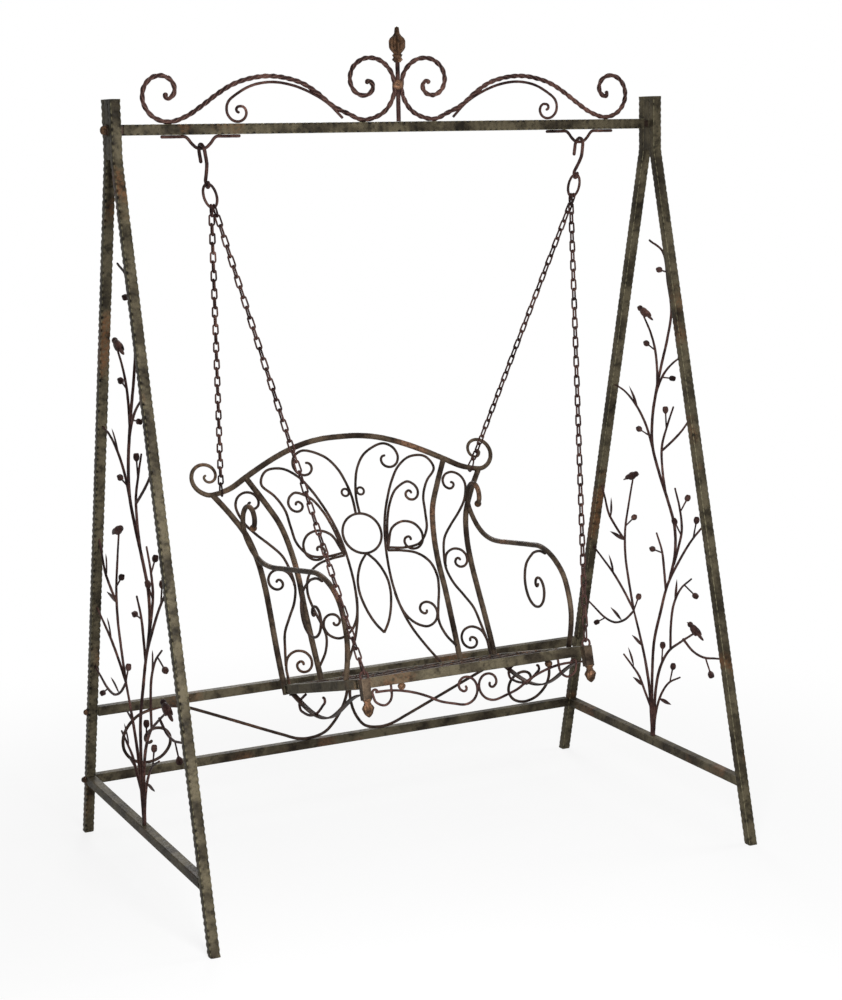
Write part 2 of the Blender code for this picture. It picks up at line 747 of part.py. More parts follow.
# Hangers, hooks and rings

def strap_axis():
    """Height of the hanger's lowest stretch, where the hook turns."""
    return BEAM_TOP - BEAM_TALL - GAP - STRAP_ROD / 2 - STRAP_DROP


def build_hangers():
    half = STRAP_LENGTH / 2
    wing = [(half, STRAP_DROP), (VALLEY_WIDE / 2, STRAP_DROP),
            (VALLEY_WIDE / 2 - STRAP_ROD, STRAP_DROP - STRAP_ROD * 0.6), (VALLEY_FLAT / 2, 0.0)]
    path = wing + [(-x, z) for x, z in reversed(wing)]
    for side_name, side in SIDES.items():
        mesh = bar(across_x([Vector(point) for point in path]), STRAP_ROD, 2)
        place = Matrix.Translation((side * STRAP_SPACING / 2, 0, strap_axis()))
        add_part(f"hanger_{side_name}", mesh, BROWN_IRON, matrix=place)


def leaned(points, side, lean, drop):
    """Lets a hanging piece lean towards the middle by the given amount over its drop."""
    return [Vector((point.x + side * lean * point.z / drop, point.y, point.z)) for point in points]


def hook_path():
    top = STRAP_ROD / 2 + GAP + HOOK_WIRE / 2
    bend_middle = top - HOOK_BEND
    eye = RING_WIRE / 2 + GAP + HOOK_WIRE / 2
    upper = bend((0, bend_middle), HOOK_BEND, 0, 180, 8)
    neck = [Vector((-HOOK_BEND, bend_middle - HOOK_BEND * 1.2)),
            Vector((-HOOK_BEND * 0.65, -HOOK_DROP * 0.58)),
            Vector((0, -HOOK_DROP * 0.78)),
            Vector((eye, eye - HOOK_DROP))]
    lower = bend((0, -HOOK_DROP), eye, 0, -200, 7)
    return [Vector((HOOK_BEND, -HOOK_SHORT_LEG))] + upper + neck + lower


def ring_path():
    """A long ring whose top and bottom are one flat step, where it hangs and carries."""
    flat = RING_BEND * math.cos(math.radians(15))
    straight = RING_DROP / 2 - flat
    points = []
    for index in range(12):
        angle = math.radians(15 + 30 * index)
        height = RING_BEND * math.sin(angle)
        points.append(Vector((RING_BEND * math.cos(angle), height + math.copysign(straight, height))))
    return points


def build_hooks_and_rings():
    for side_name, side in SIDES.items():
        hook_axis = guide(f"hook_axis_{side_name}", (side * STRAP_SPACING / 2, 0, strap_axis()))
        points = leaned(along_y(hook_path()), side, HOOK_LEAN, HOOK_DROP)
        add_part(f"hook_{side_name}", bar(points, HOOK_WIRE, 1), DARK_IRON, hook_axis)
        ring_axis = guide(f"ring_axis_{side_name}", (-side * HOOK_LEAN, 0, -HOOK_DROP), hook_axis)
        shape = [point - Vector((0, RING_DROP / 2)) for point in ring_path()]
        points = leaned(across_x(shape), side, RING_LEAN, RING_DROP)
        add_part(f"ring_{side_name}", bar(points, RING_WIRE, 1, True), DARK_IRON, ring_axis)


# Chair: seat

def seat_matrix():
    """The seat's plane: y towards the back, z square to it, origin at the front rail's low edge."""
    place = Matrix.Translation((0, -SEAT_FRONT, SEAT_HEIGHT))
    return place @ Matrix.Rotation(-math.radians(SEAT_TILT), 4, "X")


def back_matrix():
    """The back's plane within the seat's: z runs up the back."""
    lean = math.radians(BACK_LEAN)
    depth = SEAT_DEPTH + GAP + BACK_TUBE / 2 / math.cos(lean)
    return Matrix.Translation((0, depth, 0)) @ Matrix.Rotation(-lean, 4, "X")


def side_rail_place():
    return SEAT_WIDTH / 2 - SEAT_RAIL / 2


def seat_tube(depth):
    """A square tube across the seat, open at both ends."""
    spot = (0, depth, SEAT_RAIL / 2)
    bore = SEAT_RAIL - 2 * SEAT_WALL
    tube = block((SEAT_WIDTH, SEAT_RAIL, SEAT_RAIL), spot, TUBE_EDGE)
    return cut(tube, [block((SEAT_WIDTH + OVERRUN, bore, bore), spot)])


def build_seat_rails(seat):
    middle = SEAT_RAIL / 2
    front = seat_tube(middle)
    drops = []
    for side in SIDES.values():
        spot = (side * DROP_PLACE, SEAT_RAIL * APRON_DEPTH_SHARE, -DROP_BALL * 0.36)
        drops.append(ball((DROP_BALL, DROP_BALL, DROP_BALL), spot, 8, 6))
    add_part("seat_rail_front", fuse([front] + drops), BROWN_IRON, seat)
    add_part("seat_rail_rear", seat_tube(SEAT_DEPTH - middle), BROWN_IRON, seat)
    length = SEAT_DEPTH - 2 * SEAT_RAIL - 2 * GAP
    for side_name, side in SIDES.items():
        spot = (side * side_rail_place(), SEAT_DEPTH / 2, middle)
        mesh = block((SEAT_RAIL, length, SEAT_RAIL), spot, TUBE_EDGE)
        add_part(f"seat_rail_{side_name}", mesh, BROWN_IRON, seat)


def build_lattice(seat):
    """Flat bars laid crosswise in two layers, which end at the rails around them."""
    wide = SEAT_WIDTH - 2 * SEAT_RAIL - 2 * GAP
    deep = SEAT_DEPTH - 2 * SEAT_RAIL - 2 * GAP
    centre = Vector((0, SEAT_DEPTH / 2, SEAT_RAIL - LATTICE_THICK * 1.5))
    span = (wide + deep) / math.sqrt(2)
    count = round(span / LATTICE_PITCH)
    bars = []
    for turn, lift in ((45, 0.0), (-45, LATTICE_THICK * 0.9)):
        for index in range(count):
            offset = (index - (count - 1) / 2) * LATTICE_PITCH
            mesh = block((LATTICE_BAR, span, LATTICE_THICK), (offset, 0, lift))
            mesh.transform(Matrix.Translation(centre) @ Matrix.Rotation(math.radians(turn), 4, "Z"))
            bars.append(mesh)
    inside = block((wide, deep, SEAT_RAIL), centre)
    mesh = combine([fuse(bars)], "INTERSECT", [inside])
    add_part("seat_lattice", mesh, DARK_IRON, seat)


BELLY_START_SHARE = 0.10
BELLY_END_SHARE = 0.93
SIDE_SCROLL_SHARES = ((0.51, -0.41), (0.64, -0.78), (0.755, -0.86), (0.865, -0.62), (0.845, -0.30),
                      (0.76, -0.10))


def belly_points():
    start = SEAT_DEPTH * BELLY_START_SHARE
    end = SEAT_DEPTH * BELLY_END_SHARE
    top = -GAP - BELLY_THICK / 2
    points = []
    for index in range(9):
        share = index / 8
        sag = math.sin(math.pi * share) ** 0.9
        points.append(Vector((start + (end - start) * share, top - BELLY_DROP * sag)))
    pad = 2 * BELLY_BAR
    return [points[0] - Vector((pad, 0))] + points + [points[-1] + Vector((SEAT_RAIL / 2, 0))]


def ribbon(points, thickness):
    """The outline of a flat bar that follows the points."""
    upper, lower = [], []
    for index, point in enumerate(points):
        before = points[max(index - 1, 0)]
        after = points[min(index + 1, len(points) - 1)]
        along = (after - before).normalized()
        across = Vector((-along.y, along.x)) * thickness / 2
        upper.append(point + across)
        lower.append(point - across)
    return upper + list(reversed(lower))


def build_bellies(seat):
    """The curved flat bar under each side of the seat, with its small scroll."""
    strap = plate(ribbon(belly_points(), BELLY_THICK), BELLY_BAR)
    body = smooth(shares(SIDE_SCROLL_SHARES, SEAT_DEPTH, BELLY_DROP), 9)
    scroll = bar(along_y(body), APRON_WIRE)
    mesh = fuse([strap, scroll])
    ceiling = block((TUBE, SEAT_DEPTH, SEAT_RAIL + GAP), (0, SEAT_DEPTH / 2, (SEAT_RAIL - GAP) / 2))
    mesh = cut(mesh, [ceiling])
    for side_name, side in SIDES.items():
        place = Matrix.Translation((side * side_rail_place(), 0, 0))
        add_part(f"under_strap_{side_name}", mesh.copy(), BROWN_IRON, seat, place)


APRON_SHARES = ((0.865, -0.16), (0.70, -0.2), (0.50, -0.44), (0.33, -0.80), (0.14, -1.0))
APRON_HOOK_SHARES = ((0.725, 0.05), (0.735, -0.42), (0.795, -0.62), (0.865, -0.48), (0.885, -0.2))


def build_aprons(seat):
    """The waved scrolls that hang below the front rail and pass under its two drops."""
    half = SEAT_WIDTH / 2
    depth = SEAT_RAIL * APRON_DEPTH_SHARE
    body = smooth(shares(APRON_SHARES, half, APRON_DROP), 8)
    path = curl(body, -335, APRON_DROP * 0.56, APRON_DROP * 0.14, 9, heading=180)
    shift = APRON_WIRE / 2 + GAP / 2 - min(point.x for point in path)
    wave = [point + Vector((shift, 0)) for point in path]
    hook = smooth(shares(APRON_HOOK_SHARES, half, APRON_DROP), 8)
    solids = [bar(across_x(wave, depth), APRON_WIRE), bar(across_x(hook, depth), APRON_WIRE * 0.94)]
    mesh = fuse(solids)
    rail = block((SEAT_WIDTH, SEAT_RAIL, SEAT_RAIL + GAP), (0, SEAT_RAIL / 2, (SEAT_RAIL - GAP) / 2))
    mesh = cut(mesh, [rail])
    add_part("apron_scroll_right", mesh, BROWN_IRON, seat)
    add_part("apron_scroll_left", flipped_x(mesh), BROWN_IRON, seat)


def corner_middle():
    """Middle of the front corner block, and the height of the eye on it, in the seat's plane."""
    across = SEAT_WIDTH / 2 - CORNER_BLOCK / 2 + TUBE_EDGE
    return Vector((across, -GAP - CORNER_BLOCK / 2, SEAT_RAIL - CORNER_TALL / 2))


def eye_top(side):
    """Middle of the eye's wire where the chain's end link hangs on it."""
    spot = corner_middle()
    return Vector((side * spot.x, spot.y, spot.z + CORNER_TALL / 2 + EYE_BEND * (1 + EYE_RISE_SHARE)))


def build_corners(seat):
    """Front corner blocks, each with an eye for its chain and a bud-shaped point below."""
    spot = corner_middle()
    low = -CORNER_TALL / 2
    bulb = CORNER_BULB / 2
    long = CORNER_POINT - CORNER_TALL / 2
    profile = ((0, low + WASHER), (bulb * 0.75, low + WASHER), (bulb * 0.75, low - WASHER),
               (bulb * 0.5, low - 2 * WASHER), (bulb, low - long * 0.35), (bulb * 0.9, low - long * 0.55),
               (bulb * 0.4, low - long * 0.8), (0, low - long))
    body = block((CORNER_BLOCK, CORNER_BLOCK, CORNER_TALL), (0, 0, 0), TUBE_EDGE)
    eye = across_x(bend((0, EYE_BEND * EYE_RISE_SHARE - low), EYE_BEND, 0, 360, 8))
    mesh = fuse([body, turned(profile, 8), bar(eye, EYE_WIRE, 0, True)])
    for side_name, side in SIDES.items():
        place = Matrix.Translation((side * spot.x, spot.y, spot.z))
        add_part(f"corner_block_{side_name}", mesh.copy(), COPPER, seat, place)


# Chair: back, as shares of half its width and of its height

TOP_RAIL_SHARES = ((0, 1), (0.163, 0.996), (0.325, 0.977), (0.5, 0.94), (0.675, 0.891),
                   (0.838, 0.84), (0.925, 0.817), (1.01, 0.81))
OUTER_POST_SHARES = ((0.787, 0), (0.787, 0.157), (0.777, 0.371), (0.782, 0.493), (0.815, 0.606),
                     (0.88, 0.693), (1.01, 0.81))
INNER_POST_SHARES = ((0.517, 0), (0.525, 0.143), (0.53, 0.343), (0.527, 0.457), (0.555, 0.614),
                     (0.615, 0.714), (0.752, 0.866))
BIG_S_SHARES = ((0.4, 0.006), (0.275, 0.117), (0.18, 0.236), (0.14, 0.386), (0.162, 0.564),
                (0.23, 0.7), (0.35, 0.829), (0.475, 0.885), (0.587, 0.887), (0.662, 0.85),
                (0.62, 0.8), (0.537, 0.75), (0.512, 0.657), (0.475, 0.557), (0.362, 0.514),
                (0.175, 0.52))
UPPER_CURL_SHARES = ((0.17, 0.517), (0.2, 0.614), (0.262, 0.707), (0.338, 0.764), (0.412, 0.783))
SMALL_CURL_SHARES = ((0.165, 0.51), (0.185, 0.543))
LOWER_ARC_SHARES = ((0.165, 0.509), (0.312, 0.496), (0.43, 0.464), (0.487, 0.393), (0.47, 0.307),
                    (0.425, 0.221), (0.437, 0.157), (0.51, 0.09))
LOWER_CURL_SHARES = ((0.143, 0.336), (0.17, 0.264), (0.23, 0.21), (0.325, 0.184))
SIDE_S_SHARES = ((0.75, 0.107), (0.707, 0.236), (0.637, 0.307), (0.58, 0.371), (0.57, 0.429),
                 (0.60, 0.52), (0.675, 0.579), (0.775, 0.639), (0.843, 0.693), (0.868, 0.743))
SIDE_MIDDLE_SHARES = ((0.572, 0.414), (0.572, 0.429))
SIDE_FOOT_SHARES = ((0.754, 0.006), (0.75, 0.1))
ANTENNA_SHARES = ((0.014, 0.674), (0.02, 0.764), (0.075, 0.864), (0.155, 0.921), (0.237, 0.945))
LEAF_LOOP_SHARES = ((0, 0.508), (0.07, 0.46), (0.112, 0.393), (0.112, 0.336), (0.085, 0.271),
                    (0.04, 0.214), (0, 0.183))
CIRCLE_HEIGHT_SHARE = 0.59
SMALL_RING_SHARES = (0.0575, 0.764)


def back_path(table, count):
    return smooth(shares(table, BACK_HALF, BACK_HEIGHT), count)


def top_rail_half():
    body = back_path(TOP_RAIL_SHARES, 9)
    return curl(body, 430, BACK_HALF * 0.132, BACK_HALF * 0.024, 14, heading=0)


def top_rail_path():
    half = top_rail_half()
    return mirrored_path(reversed(half[1:]), LEFT) + half


def back_cutters(growth, wire_plane):
    """The back's tubes and the rear seat rail, grown a little, to seat the scrolls on."""
    size = BACK_TUBE + growth
    tools = [bar(across_x(top_rail_path()), size, 1)]
    for table in (OUTER_POST_SHARES, INNER_POST_SHARES):
        for side in SIDES.values():
            path = mirrored_path(back_path(table, 9), side)
            path[0].y -= OVERRUN
            tools.append(bar(across_x(path), size, 1))
    for tool in tools:
        tool.transform(Matrix.Translation((0, -wire_plane, 0)))
    return tools


def build_back_frame(back):
    rail = bar(across_x(top_rail_path()), BACK_TUBE, 1)
    add_part("back_top_rail", rail, POST_IRON, back)
    seat_for_post = [bar(across_x(top_rail_path()), BACK_TUBE + 2 * GAP, 1)]
    for name, table in (("outer", OUTER_POST_SHARES), ("inner", INNER_POST_SHARES)):
        mesh = cut(bar(across_x(back_path(table, 9)), BACK_TUBE, 1), seat_for_post)
        add_part(f"back_post_{name}_right", mesh, POST_IRON, back)
        add_part(f"back_post_{name}_left", flipped_x(mesh), POST_IRON, back)


def build_back_scrolls(back):
    """Scrollwork set flush with the front of the back's tubes."""
    wire_plane = (BACK_WIRE - BACK_TUBE) / 2
    half, tall = BACK_HALF, BACK_HEIGHT
    tools = back_cutters(2 * GAP, wire_plane)
    place = Matrix.Translation((0, wire_plane, 0))

    def wire(points, share=1.0):
        return bar(across_x(points), BACK_WIRE * share)

    upper = curl(back_path(UPPER_CURL_SHARES, 6), -330, half * 0.085, half * 0.02, 8, heading=0)
    small = curl(back_path(SMALL_CURL_SHARES, 2), -430, half * 0.16, half * 0.02, 11, heading=85)
    lower = curl(back_path(LOWER_CURL_SHARES, 5), 335, half * 0.11, half * 0.02, 8, heading=0)
    panel = fuse([wire(back_path(BIG_S_SHARES, 24)), wire(upper, 0.97), wire(small, 0.94),
                  wire(back_path(LOWER_ARC_SHARES, 10), 0.96), wire(lower, 0.95)])
    panel = cut(panel, tools)
    add_part("back_scroll_right", panel, BROWN_IRON, back, place)
    add_part("back_scroll_left", flipped_x(panel), BROWN_IRON, back, place)

    tall_s = curl(back_path(SIDE_S_SHARES, 12), 330, half * 0.11, half * 0.022, 8, heading=85)
    middle = curl(back_path(SIDE_MIDDLE_SHARES, 2), -400, half * 0.107, half * 0.02, 10, heading=88)
    foot = curl(back_path(SIDE_FOOT_SHARES, 3), 430, half * 0.113, half * 0.02, 11, heading=92)
    side_panel = fuse([wire(tall_s), wire(middle, 0.97), wire(foot, 0.95)])
    side_panel = cut(side_panel, tools)
    add_part("side_scroll_right", side_panel, BROWN_IRON, back, place)
    add_part("side_scroll_left", flipped_x(side_panel), BROWN_IRON, back, place)

    antenna = curl(back_path(ANTENNA_SHARES, 6), -395, half * 0.12, half * 0.02, 10)
    centre = (0, CIRCLE_HEIGHT_SHARE * tall)
    pieces = [bar(across_x(bend(centre, CIRCLE_ACROSS / 2, 0, 360, 14)), BACK_WIRE, 0, True)]
    ring_x, ring_z = shares([SMALL_RING_SHARES], half, tall)[0]
    for side in SIDES.values():
        pieces.append(wire(mirrored_path(antenna, side), 0.97 + 0.01 * side))
        pieces.append(wire(mirrored_path(back_path(LEAF_LOOP_SHARES, 9), side), 0.95 + 0.01 * side))
        small_ring = bend((side * ring_x, ring_z), RING_SMALL / 2, 0, 360, 8)
        pieces.append(bar(across_x(small_ring), BACK_WIRE * 0.9, 0, True))
    medallion = cut(fuse(pieces), tools)
    add_part("back_medallion", medallion, BROWN_IRON, back, place)


# Chair: arms, as shares of the seat's depth and of the arm's height

ARM_SHARES = ((0.175, 0.083), (0.11, 0.29), (0.098, 0.439), (0.11, 0.616), (0.154, 0.748),
              (0.23, 0.861), (0.334, 0.948), (0.468, 0.987), (0.754, 1.048), (0.912, 1.087),
              (1.034, 1.158), (1.122, 1.263), (1.176, 1.377))
ARM_SCROLL_SHARES = ((0.3, 0.887), (0.38, 0.921), (0.464, 0.9))


def arm_across(depth):
    """The arm stands on the side rail in front and passes outside the post behind."""
    start = ARM_SHARES[0][0] * SEAT_DEPTH
    share = min(max((depth - start) / (ARM_SHARES[-1][0] * SEAT_DEPTH - start), 0.0), 1.0)
    return (SEAT_WIDTH - ARM_TUBE) / 2 + ARM_SPREAD * share


def build_arms(seat):
    body = smooth(shares(ARM_SHARES, SEAT_DEPTH, ARM_HEIGHT), 17)
    path = curl(body, 285, ARM_HEIGHT * 0.18, ARM_HEIGHT * 0.075, 8)
    points = [Vector((arm_across(y), y, z)) for y, z in path]
    tube = bar(points, ARM_TUBE, 1)
    knob = ball((ARM_BALL, ARM_BALL, ARM_BALL), points[-1], 8, 6)
    mesh = fuse([tube, knob])
    rail = block((TUBE, SEAT_DEPTH, SEAT_RAIL), (side_rail_place(), SEAT_DEPTH / 2, SEAT_RAIL / 2 + GAP))
    post = bar(across_x(back_path(OUTER_POST_SHARES, 9)), BACK_TUBE + 2 * GAP, 1)
    post.transform(back_matrix())
    mesh = cut(mesh, [rail, post])
    inner = smooth(shares(ARM_SCROLL_SHARES, SEAT_DEPTH, ARM_HEIGHT), 4)
    inner = curl(inner, -420, ARM_HEIGHT * 0.275, ARM_HEIGHT * 0.03, 12)
    scroll = bar([Vector((arm_across(y), y, z)) for y, z in inner], ARM_WIRE)
    scroll = cut(scroll, [bar(points, ARM_TUBE + 2 * GAP, 1)])
    add_part("arm_right", mesh, POST_IRON, seat)
    add_part("arm_left", flipped_x(mesh), POST_IRON, seat)
    add_part("arm_scroll_right", scroll, BROWN_IRON, seat)
    add_part("arm_scroll_left", flipped_x(scroll), BROWN_IRON, seat)


# Chains

def link(wide, long, wire, middle, along, facing):
    """One open link: a ring stretched along the chain, facing the given way."""
    bpy.ops.mesh.primitive_torus_add(major_segments=8, minor_segments=4,
                                     major_radius=(wide - wire) / 2, minor_radius=wire / 2)
    item = bpy.context.object
    stretch = (long - wide) / 2
    for vertex in item.data.vertices:
        if abs(vertex.co.y) > wire / 2:
            vertex.co.y += math.copysign(stretch, vertex.co.y)
    item.matrix_world = Matrix.Translation(middle) @ chain_axes(along, facing)
    return evaluated_mesh(item)


def chain_axes(along, facing):
    sideways = along.cross(facing).normalized()
    return Matrix((sideways, along, sideways.cross(along))).transposed().to_4x4()


def chain_run(low, high, facing):
    """The links between the two end links as one strand: flat one way, then flat the other."""
    span = high - low
    along = span.normalized()
    count = round(span.length / CHAIN_PITCH)
    pitch = span.length / count
    flat = (CHAIN_WIDE / 2, CHAIN_WIRE / 2)
    turned_flat = tuple(reversed(flat))
    frame = Matrix.Translation(low) @ chain_axes(along, facing)
    neck = CHAIN_WIRE * 0.45
    sections = [(neck, neck, 0.0)]
    for index in range(count):
        half_x, half_z = flat if index % 2 == 0 else turned_flat
        for share in (CHAIN_NECK_SHARE, 1 - CHAIN_NECK_SHARE):
            sections.append((half_x, half_z, (index + share) * pitch))
    sections.append((neck, neck, span.length))
    work = bmesh.new()
    loops = []
    for half_x, half_z, height in sections:
        corners = ((half_x, height, 0), (0, height, half_z), (-half_x, height, 0), (0, height, -half_z))
        loops.append([work.verts.new(frame @ Vector(corner)) for corner in corners])
    for lower, upper in zip(loops, loops[1:]):
        for corner in range(4):
            after = (corner + 1) % 4
            work.faces.new((lower[corner], lower[after], upper[after], upper[corner]))
    work.faces.new(loops[0])
    work.faces.new(reversed(loops[-1]))
    bmesh.ops.triangulate(work, faces=work.faces)
    bmesh.ops.recalc_face_normals(work, faces=work.faces)
    mesh = bpy.data.meshes.new("strand")
    work.to_mesh(mesh)
    work.free()
    return mesh


def chain_solids(start, end, first_reach, last_reach):
    """From the top link's hanging point, down the strand, to the pear link's far end."""
    along = (end - start).normalized()
    level = Vector((1, 0, 0))
    top_middle = start + along * (TOP_LINK_LONG / 2 - CHAIN_WIRE / 2 - first_reach)
    pear_middle = end - along * (PEAR_LONG / 2 - CHAIN_WIRE / 2 - last_reach)
    high = top_middle + along * (TOP_LINK_LONG - CHAIN_WIRE) / 2
    low = pear_middle - along * (PEAR_LONG - CHAIN_WIRE) / 2
    return [link(TOP_LINK_WIDE, TOP_LINK_LONG, CHAIN_WIRE, top_middle, along, level),
            link(max(PEAR_WIDE, 2 * PEAR_ROOM_SHARE * last_reach), PEAR_LONG, CHAIN_WIRE, pear_middle,
                 along, level),
            chain_run(low, high, level)]


def build_chains(swing):
    """Four chains, from the two rings to the front corners and to the ends of the back's rail."""
    to_world = seat_matrix()
    rail_spot = top_rail_half()[7].lerp(top_rail_half()[8], 0.5)
    for side_name, side in SIDES.items():
        axis = Vector((side * (STRAP_SPACING / 2 - HOOK_LEAN - RING_LEAN), 0, 0))
        low_eye = to_world @ eye_top(side) - swing.location
        on_rail = to_world @ back_matrix() @ Vector((side * rail_spot.x, 0, rail_spot.y)) - swing.location
        for end_name, foot, offset, hold in (("front", low_eye, -CHAIN_SIDE, EYE_WIRE),
                                             ("rear", on_rail, CHAIN_SIDE, BACK_TUBE)):
            start = axis + Vector((side * offset, 0, 0))
            solids = chain_solids(start, foot, RING_WIRE / 2 + HANG_PLAY + GAP + CHAIN_WIRE / 2,
                                  hold / 2 + HANG_PLAY / 2 + GAP + CHAIN_WIRE / 2)
            add_part(f"chain_{end_name}_{side_name}", fuse(solids), DARK_IRON, swing)


def build_chair():
    drop = strap_axis() - HOOK_DROP - RING_DROP
    swing = guide("swing_axis", (0, 0, drop))
    seat = guide("seat_plane", (0, 0, 0), swing)
    seat.matrix_local = Matrix.Translation((0, 0, -drop)) @ seat_matrix()
    back = guide("back_plane", (0, 0, 0), seat)
    back.matrix_local = back_matrix()
    build_seat_rails(seat)
    build_lattice(seat)
    build_bellies(seat)
    build_aprons(seat)
    build_corners(seat)
    build_back_frame(back)
    build_back_scrolls(back)
    build_arms(seat)
    build_chains(swing)


clear_scene()
PARTS = new_collection("wrought_iron_swing_chair")
CUTTERS = new_collection("cutters")
WORK = new_collection("work")
build_legs()
build_stretchers()
build_heads()
build_beam()
build_rear_rails()
build_bolts()
build_top_ornament()
build_finial()
build_rear_scrolls()
build_stem_panels()
build_hangers()
build_hooks_and_rings()
build_chair()
bpy.data.collections.remove(WORK)
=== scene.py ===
# %% [markdown]
# # A wrought iron swing chair, forged in code
# Two leaning side frames carry a beam. From the beam a scrolled chair hangs on four chains.
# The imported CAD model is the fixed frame: every piece made here takes its place from it, so nothing
# has to be fitted by eye, and each piece moves with the body that it belongs to.

# %% Load the fixed frame
import math

import bmesh
import bpy
from mathutils import Matrix, Vector


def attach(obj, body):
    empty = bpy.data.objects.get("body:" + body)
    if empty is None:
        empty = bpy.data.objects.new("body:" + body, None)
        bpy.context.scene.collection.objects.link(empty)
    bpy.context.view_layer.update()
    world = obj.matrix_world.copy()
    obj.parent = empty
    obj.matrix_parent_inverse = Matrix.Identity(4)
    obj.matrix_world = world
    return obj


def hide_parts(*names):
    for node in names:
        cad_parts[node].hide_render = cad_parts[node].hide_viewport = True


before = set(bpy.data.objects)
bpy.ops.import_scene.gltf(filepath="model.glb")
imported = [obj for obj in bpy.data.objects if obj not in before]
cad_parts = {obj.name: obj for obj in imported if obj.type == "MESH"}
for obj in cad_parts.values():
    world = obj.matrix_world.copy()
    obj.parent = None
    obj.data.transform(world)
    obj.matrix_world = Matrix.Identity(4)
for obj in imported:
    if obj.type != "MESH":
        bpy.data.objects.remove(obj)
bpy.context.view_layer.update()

# %% [markdown]
# ## Measures
# The same sizes as the CAD source, in metres. A smith works from few numbers: the stock (a square tube,
# a few round bars), the heights of the rails, and the reach of each scroll. All else is a share of them.

# %% Sizes of the side frames and the beam
GAP = 0.0003
POST_TOP = 1.96
BEND_HEIGHT = 1.818
FRAME_SPACING = 1.506
FOOT_DEPTH = 1.013
TUBE = 0.025
HEAD_DEPTH = 0.0766
CROSS_TOP = 0.172
UPPER_RAIL_TOP = 0.374
BEAM_TOP = 1.9006
BEAM_TALL = 0.026
SHOULDER_SPACE = 0.013
SPIGOT = 0.018
SPIGOT_LENGTH = 0.028
BEAM_NUT = 0.028
RAIL_NUT = 0.018
WASHER = 0.0025
ROD = 0.012
FINIAL_TOP = 2.137
FINIAL_BASE = 2.048
FINIAL_BALL = 0.045
SCROLL_WIRE = 0.010
ARCH_WIRE = 0.008
ORNAMENT_END_SPACE = 0.0605
ORNAMENT_REACH = FRAME_SPACING / 2 - TUBE / 2 - ORNAMENT_END_SPACE
REAR_WIRE = 0.009
REAR_END_SPACE = 0.0855
REAR_REACH = FRAME_SPACING / 2 - TUBE / 2 - REAR_END_SPACE
STEM = 0.009
BRANCH = 0.0076
TWIG = 0.005
BIRD_LONG = 0.085
BIRD_WIDE = 0.032
BIRD_HEAD = 0.026

# %% Sizes of the hangers, the chair and the chains
STRAP_ROD = 0.008
STRAP_FROM_LEG = 0.222
STRAP_SPACING = FRAME_SPACING - 2 * STRAP_FROM_LEG
STRAP_LENGTH = 0.197
STRAP_DROP = 0.0274
VALLEY_WIDE = 0.084
VALLEY_FLAT = 0.020
HOOK_WIRE = 0.009
HOOK_BEND = 0.020
HOOK_SHORT_LEG = 0.033
HOOK_DROP = 0.0865
RING_WIRE = 0.007
RING_BEND = 0.0168
RING_DROP = 0.058
RING_LEAN = 0.012
HOOK_LEAN = 0.012
HANG_PLAY = 0.0012
SEAT_TILT = 15.0
BACK_LEAN = 12.4
SEAT_FRONT = 0.386
SEAT_HEIGHT = 0.549
SEAT_WIDTH = 0.645
SEAT_DEPTH = 0.50
SEAT_RAIL = 0.025
SEAT_WALL = 0.0026
LATTICE_PITCH = 0.078
LATTICE_THICK = 0.0035
BACK_HEIGHT = 0.70
BACK_HALF = 0.40
BACK_TUBE = 0.016
BACK_WIRE = 0.008
RING_SMALL = 0.021
CIRCLE_ACROSS = 0.115
ARM_TUBE = 0.014
ARM_HEIGHT = 0.31
ARM_BALL = 0.020
ARM_WIRE = 0.008
ARM_SPREAD = 0.024
BELLY_BAR = 0.013
BELLY_THICK = 0.004
BELLY_DROP = 0.067
APRON_WIRE = 0.007
APRON_DROP = 0.075
APRON_DEPTH_SHARE = 0.25
DROP_BALL = 0.017
DROP_PLACE = 0.206
CORNER_BLOCK = 0.028
CORNER_TALL = 0.063
CORNER_BULB = 0.029
POINT_LONG = 0.042
EYE_WIRE = 0.006
EYE_BEND = 0.0105
EYE_RISE_SHARE = 0.6
CHAIN_WIRE = 0.005
CHAIN_PITCH = 0.0265
CHAIN_WIDE = 0.018
TOP_LINK_WIDE = 0.021
TOP_LINK_LONG = 0.036
PEAR_LONG = 0.046
PEAR_WIDE = 0.026
PEAR_ROOM_SHARE = 1.45
CHAIN_SIDE = 0.004
LEFT, RIGHT = -1, 1
SIDES = {"left": LEFT, "right": RIGHT}

# %% [markdown]
# ## Camera
# The camera stands where the photograph was taken from: left of the swing, nearly as high as its beam.
# A long lens keeps the posts nearly parallel. Its place was worked out from the straight tubes of the
# frame, whose sizes are known, so the render can be laid over the photograph.

# %% Place the camera
FRAME_WIDTH_PX = 842
FRAME_HEIGHT_PX = 1000
FOCAL_PX = 2013.0
CENTRE_PX = (474.95, 477.79)
CAMERA_YAW = 27.388
CAMERA_PITCH = 9.602
CAMERA_ROLL = -0.898
CAMERA_SPOT = Vector((-2.2291, -4.6926, 1.8583))


def camera_axes(yaw, pitch, roll):
    """Right, up and forward of a camera that looks along +Y when all its angles are zero."""
    forward = Vector((math.sin(yaw) * math.cos(pitch), math.cos(yaw) * math.cos(pitch), -math.sin(pitch)))
    level = Vector((math.cos(yaw), -math.sin(yaw), 0))
    up = level.cross(forward)
    right = level * math.cos(roll) + up * math.sin(roll)
    return right, up * math.cos(roll) - level * math.sin(roll), forward


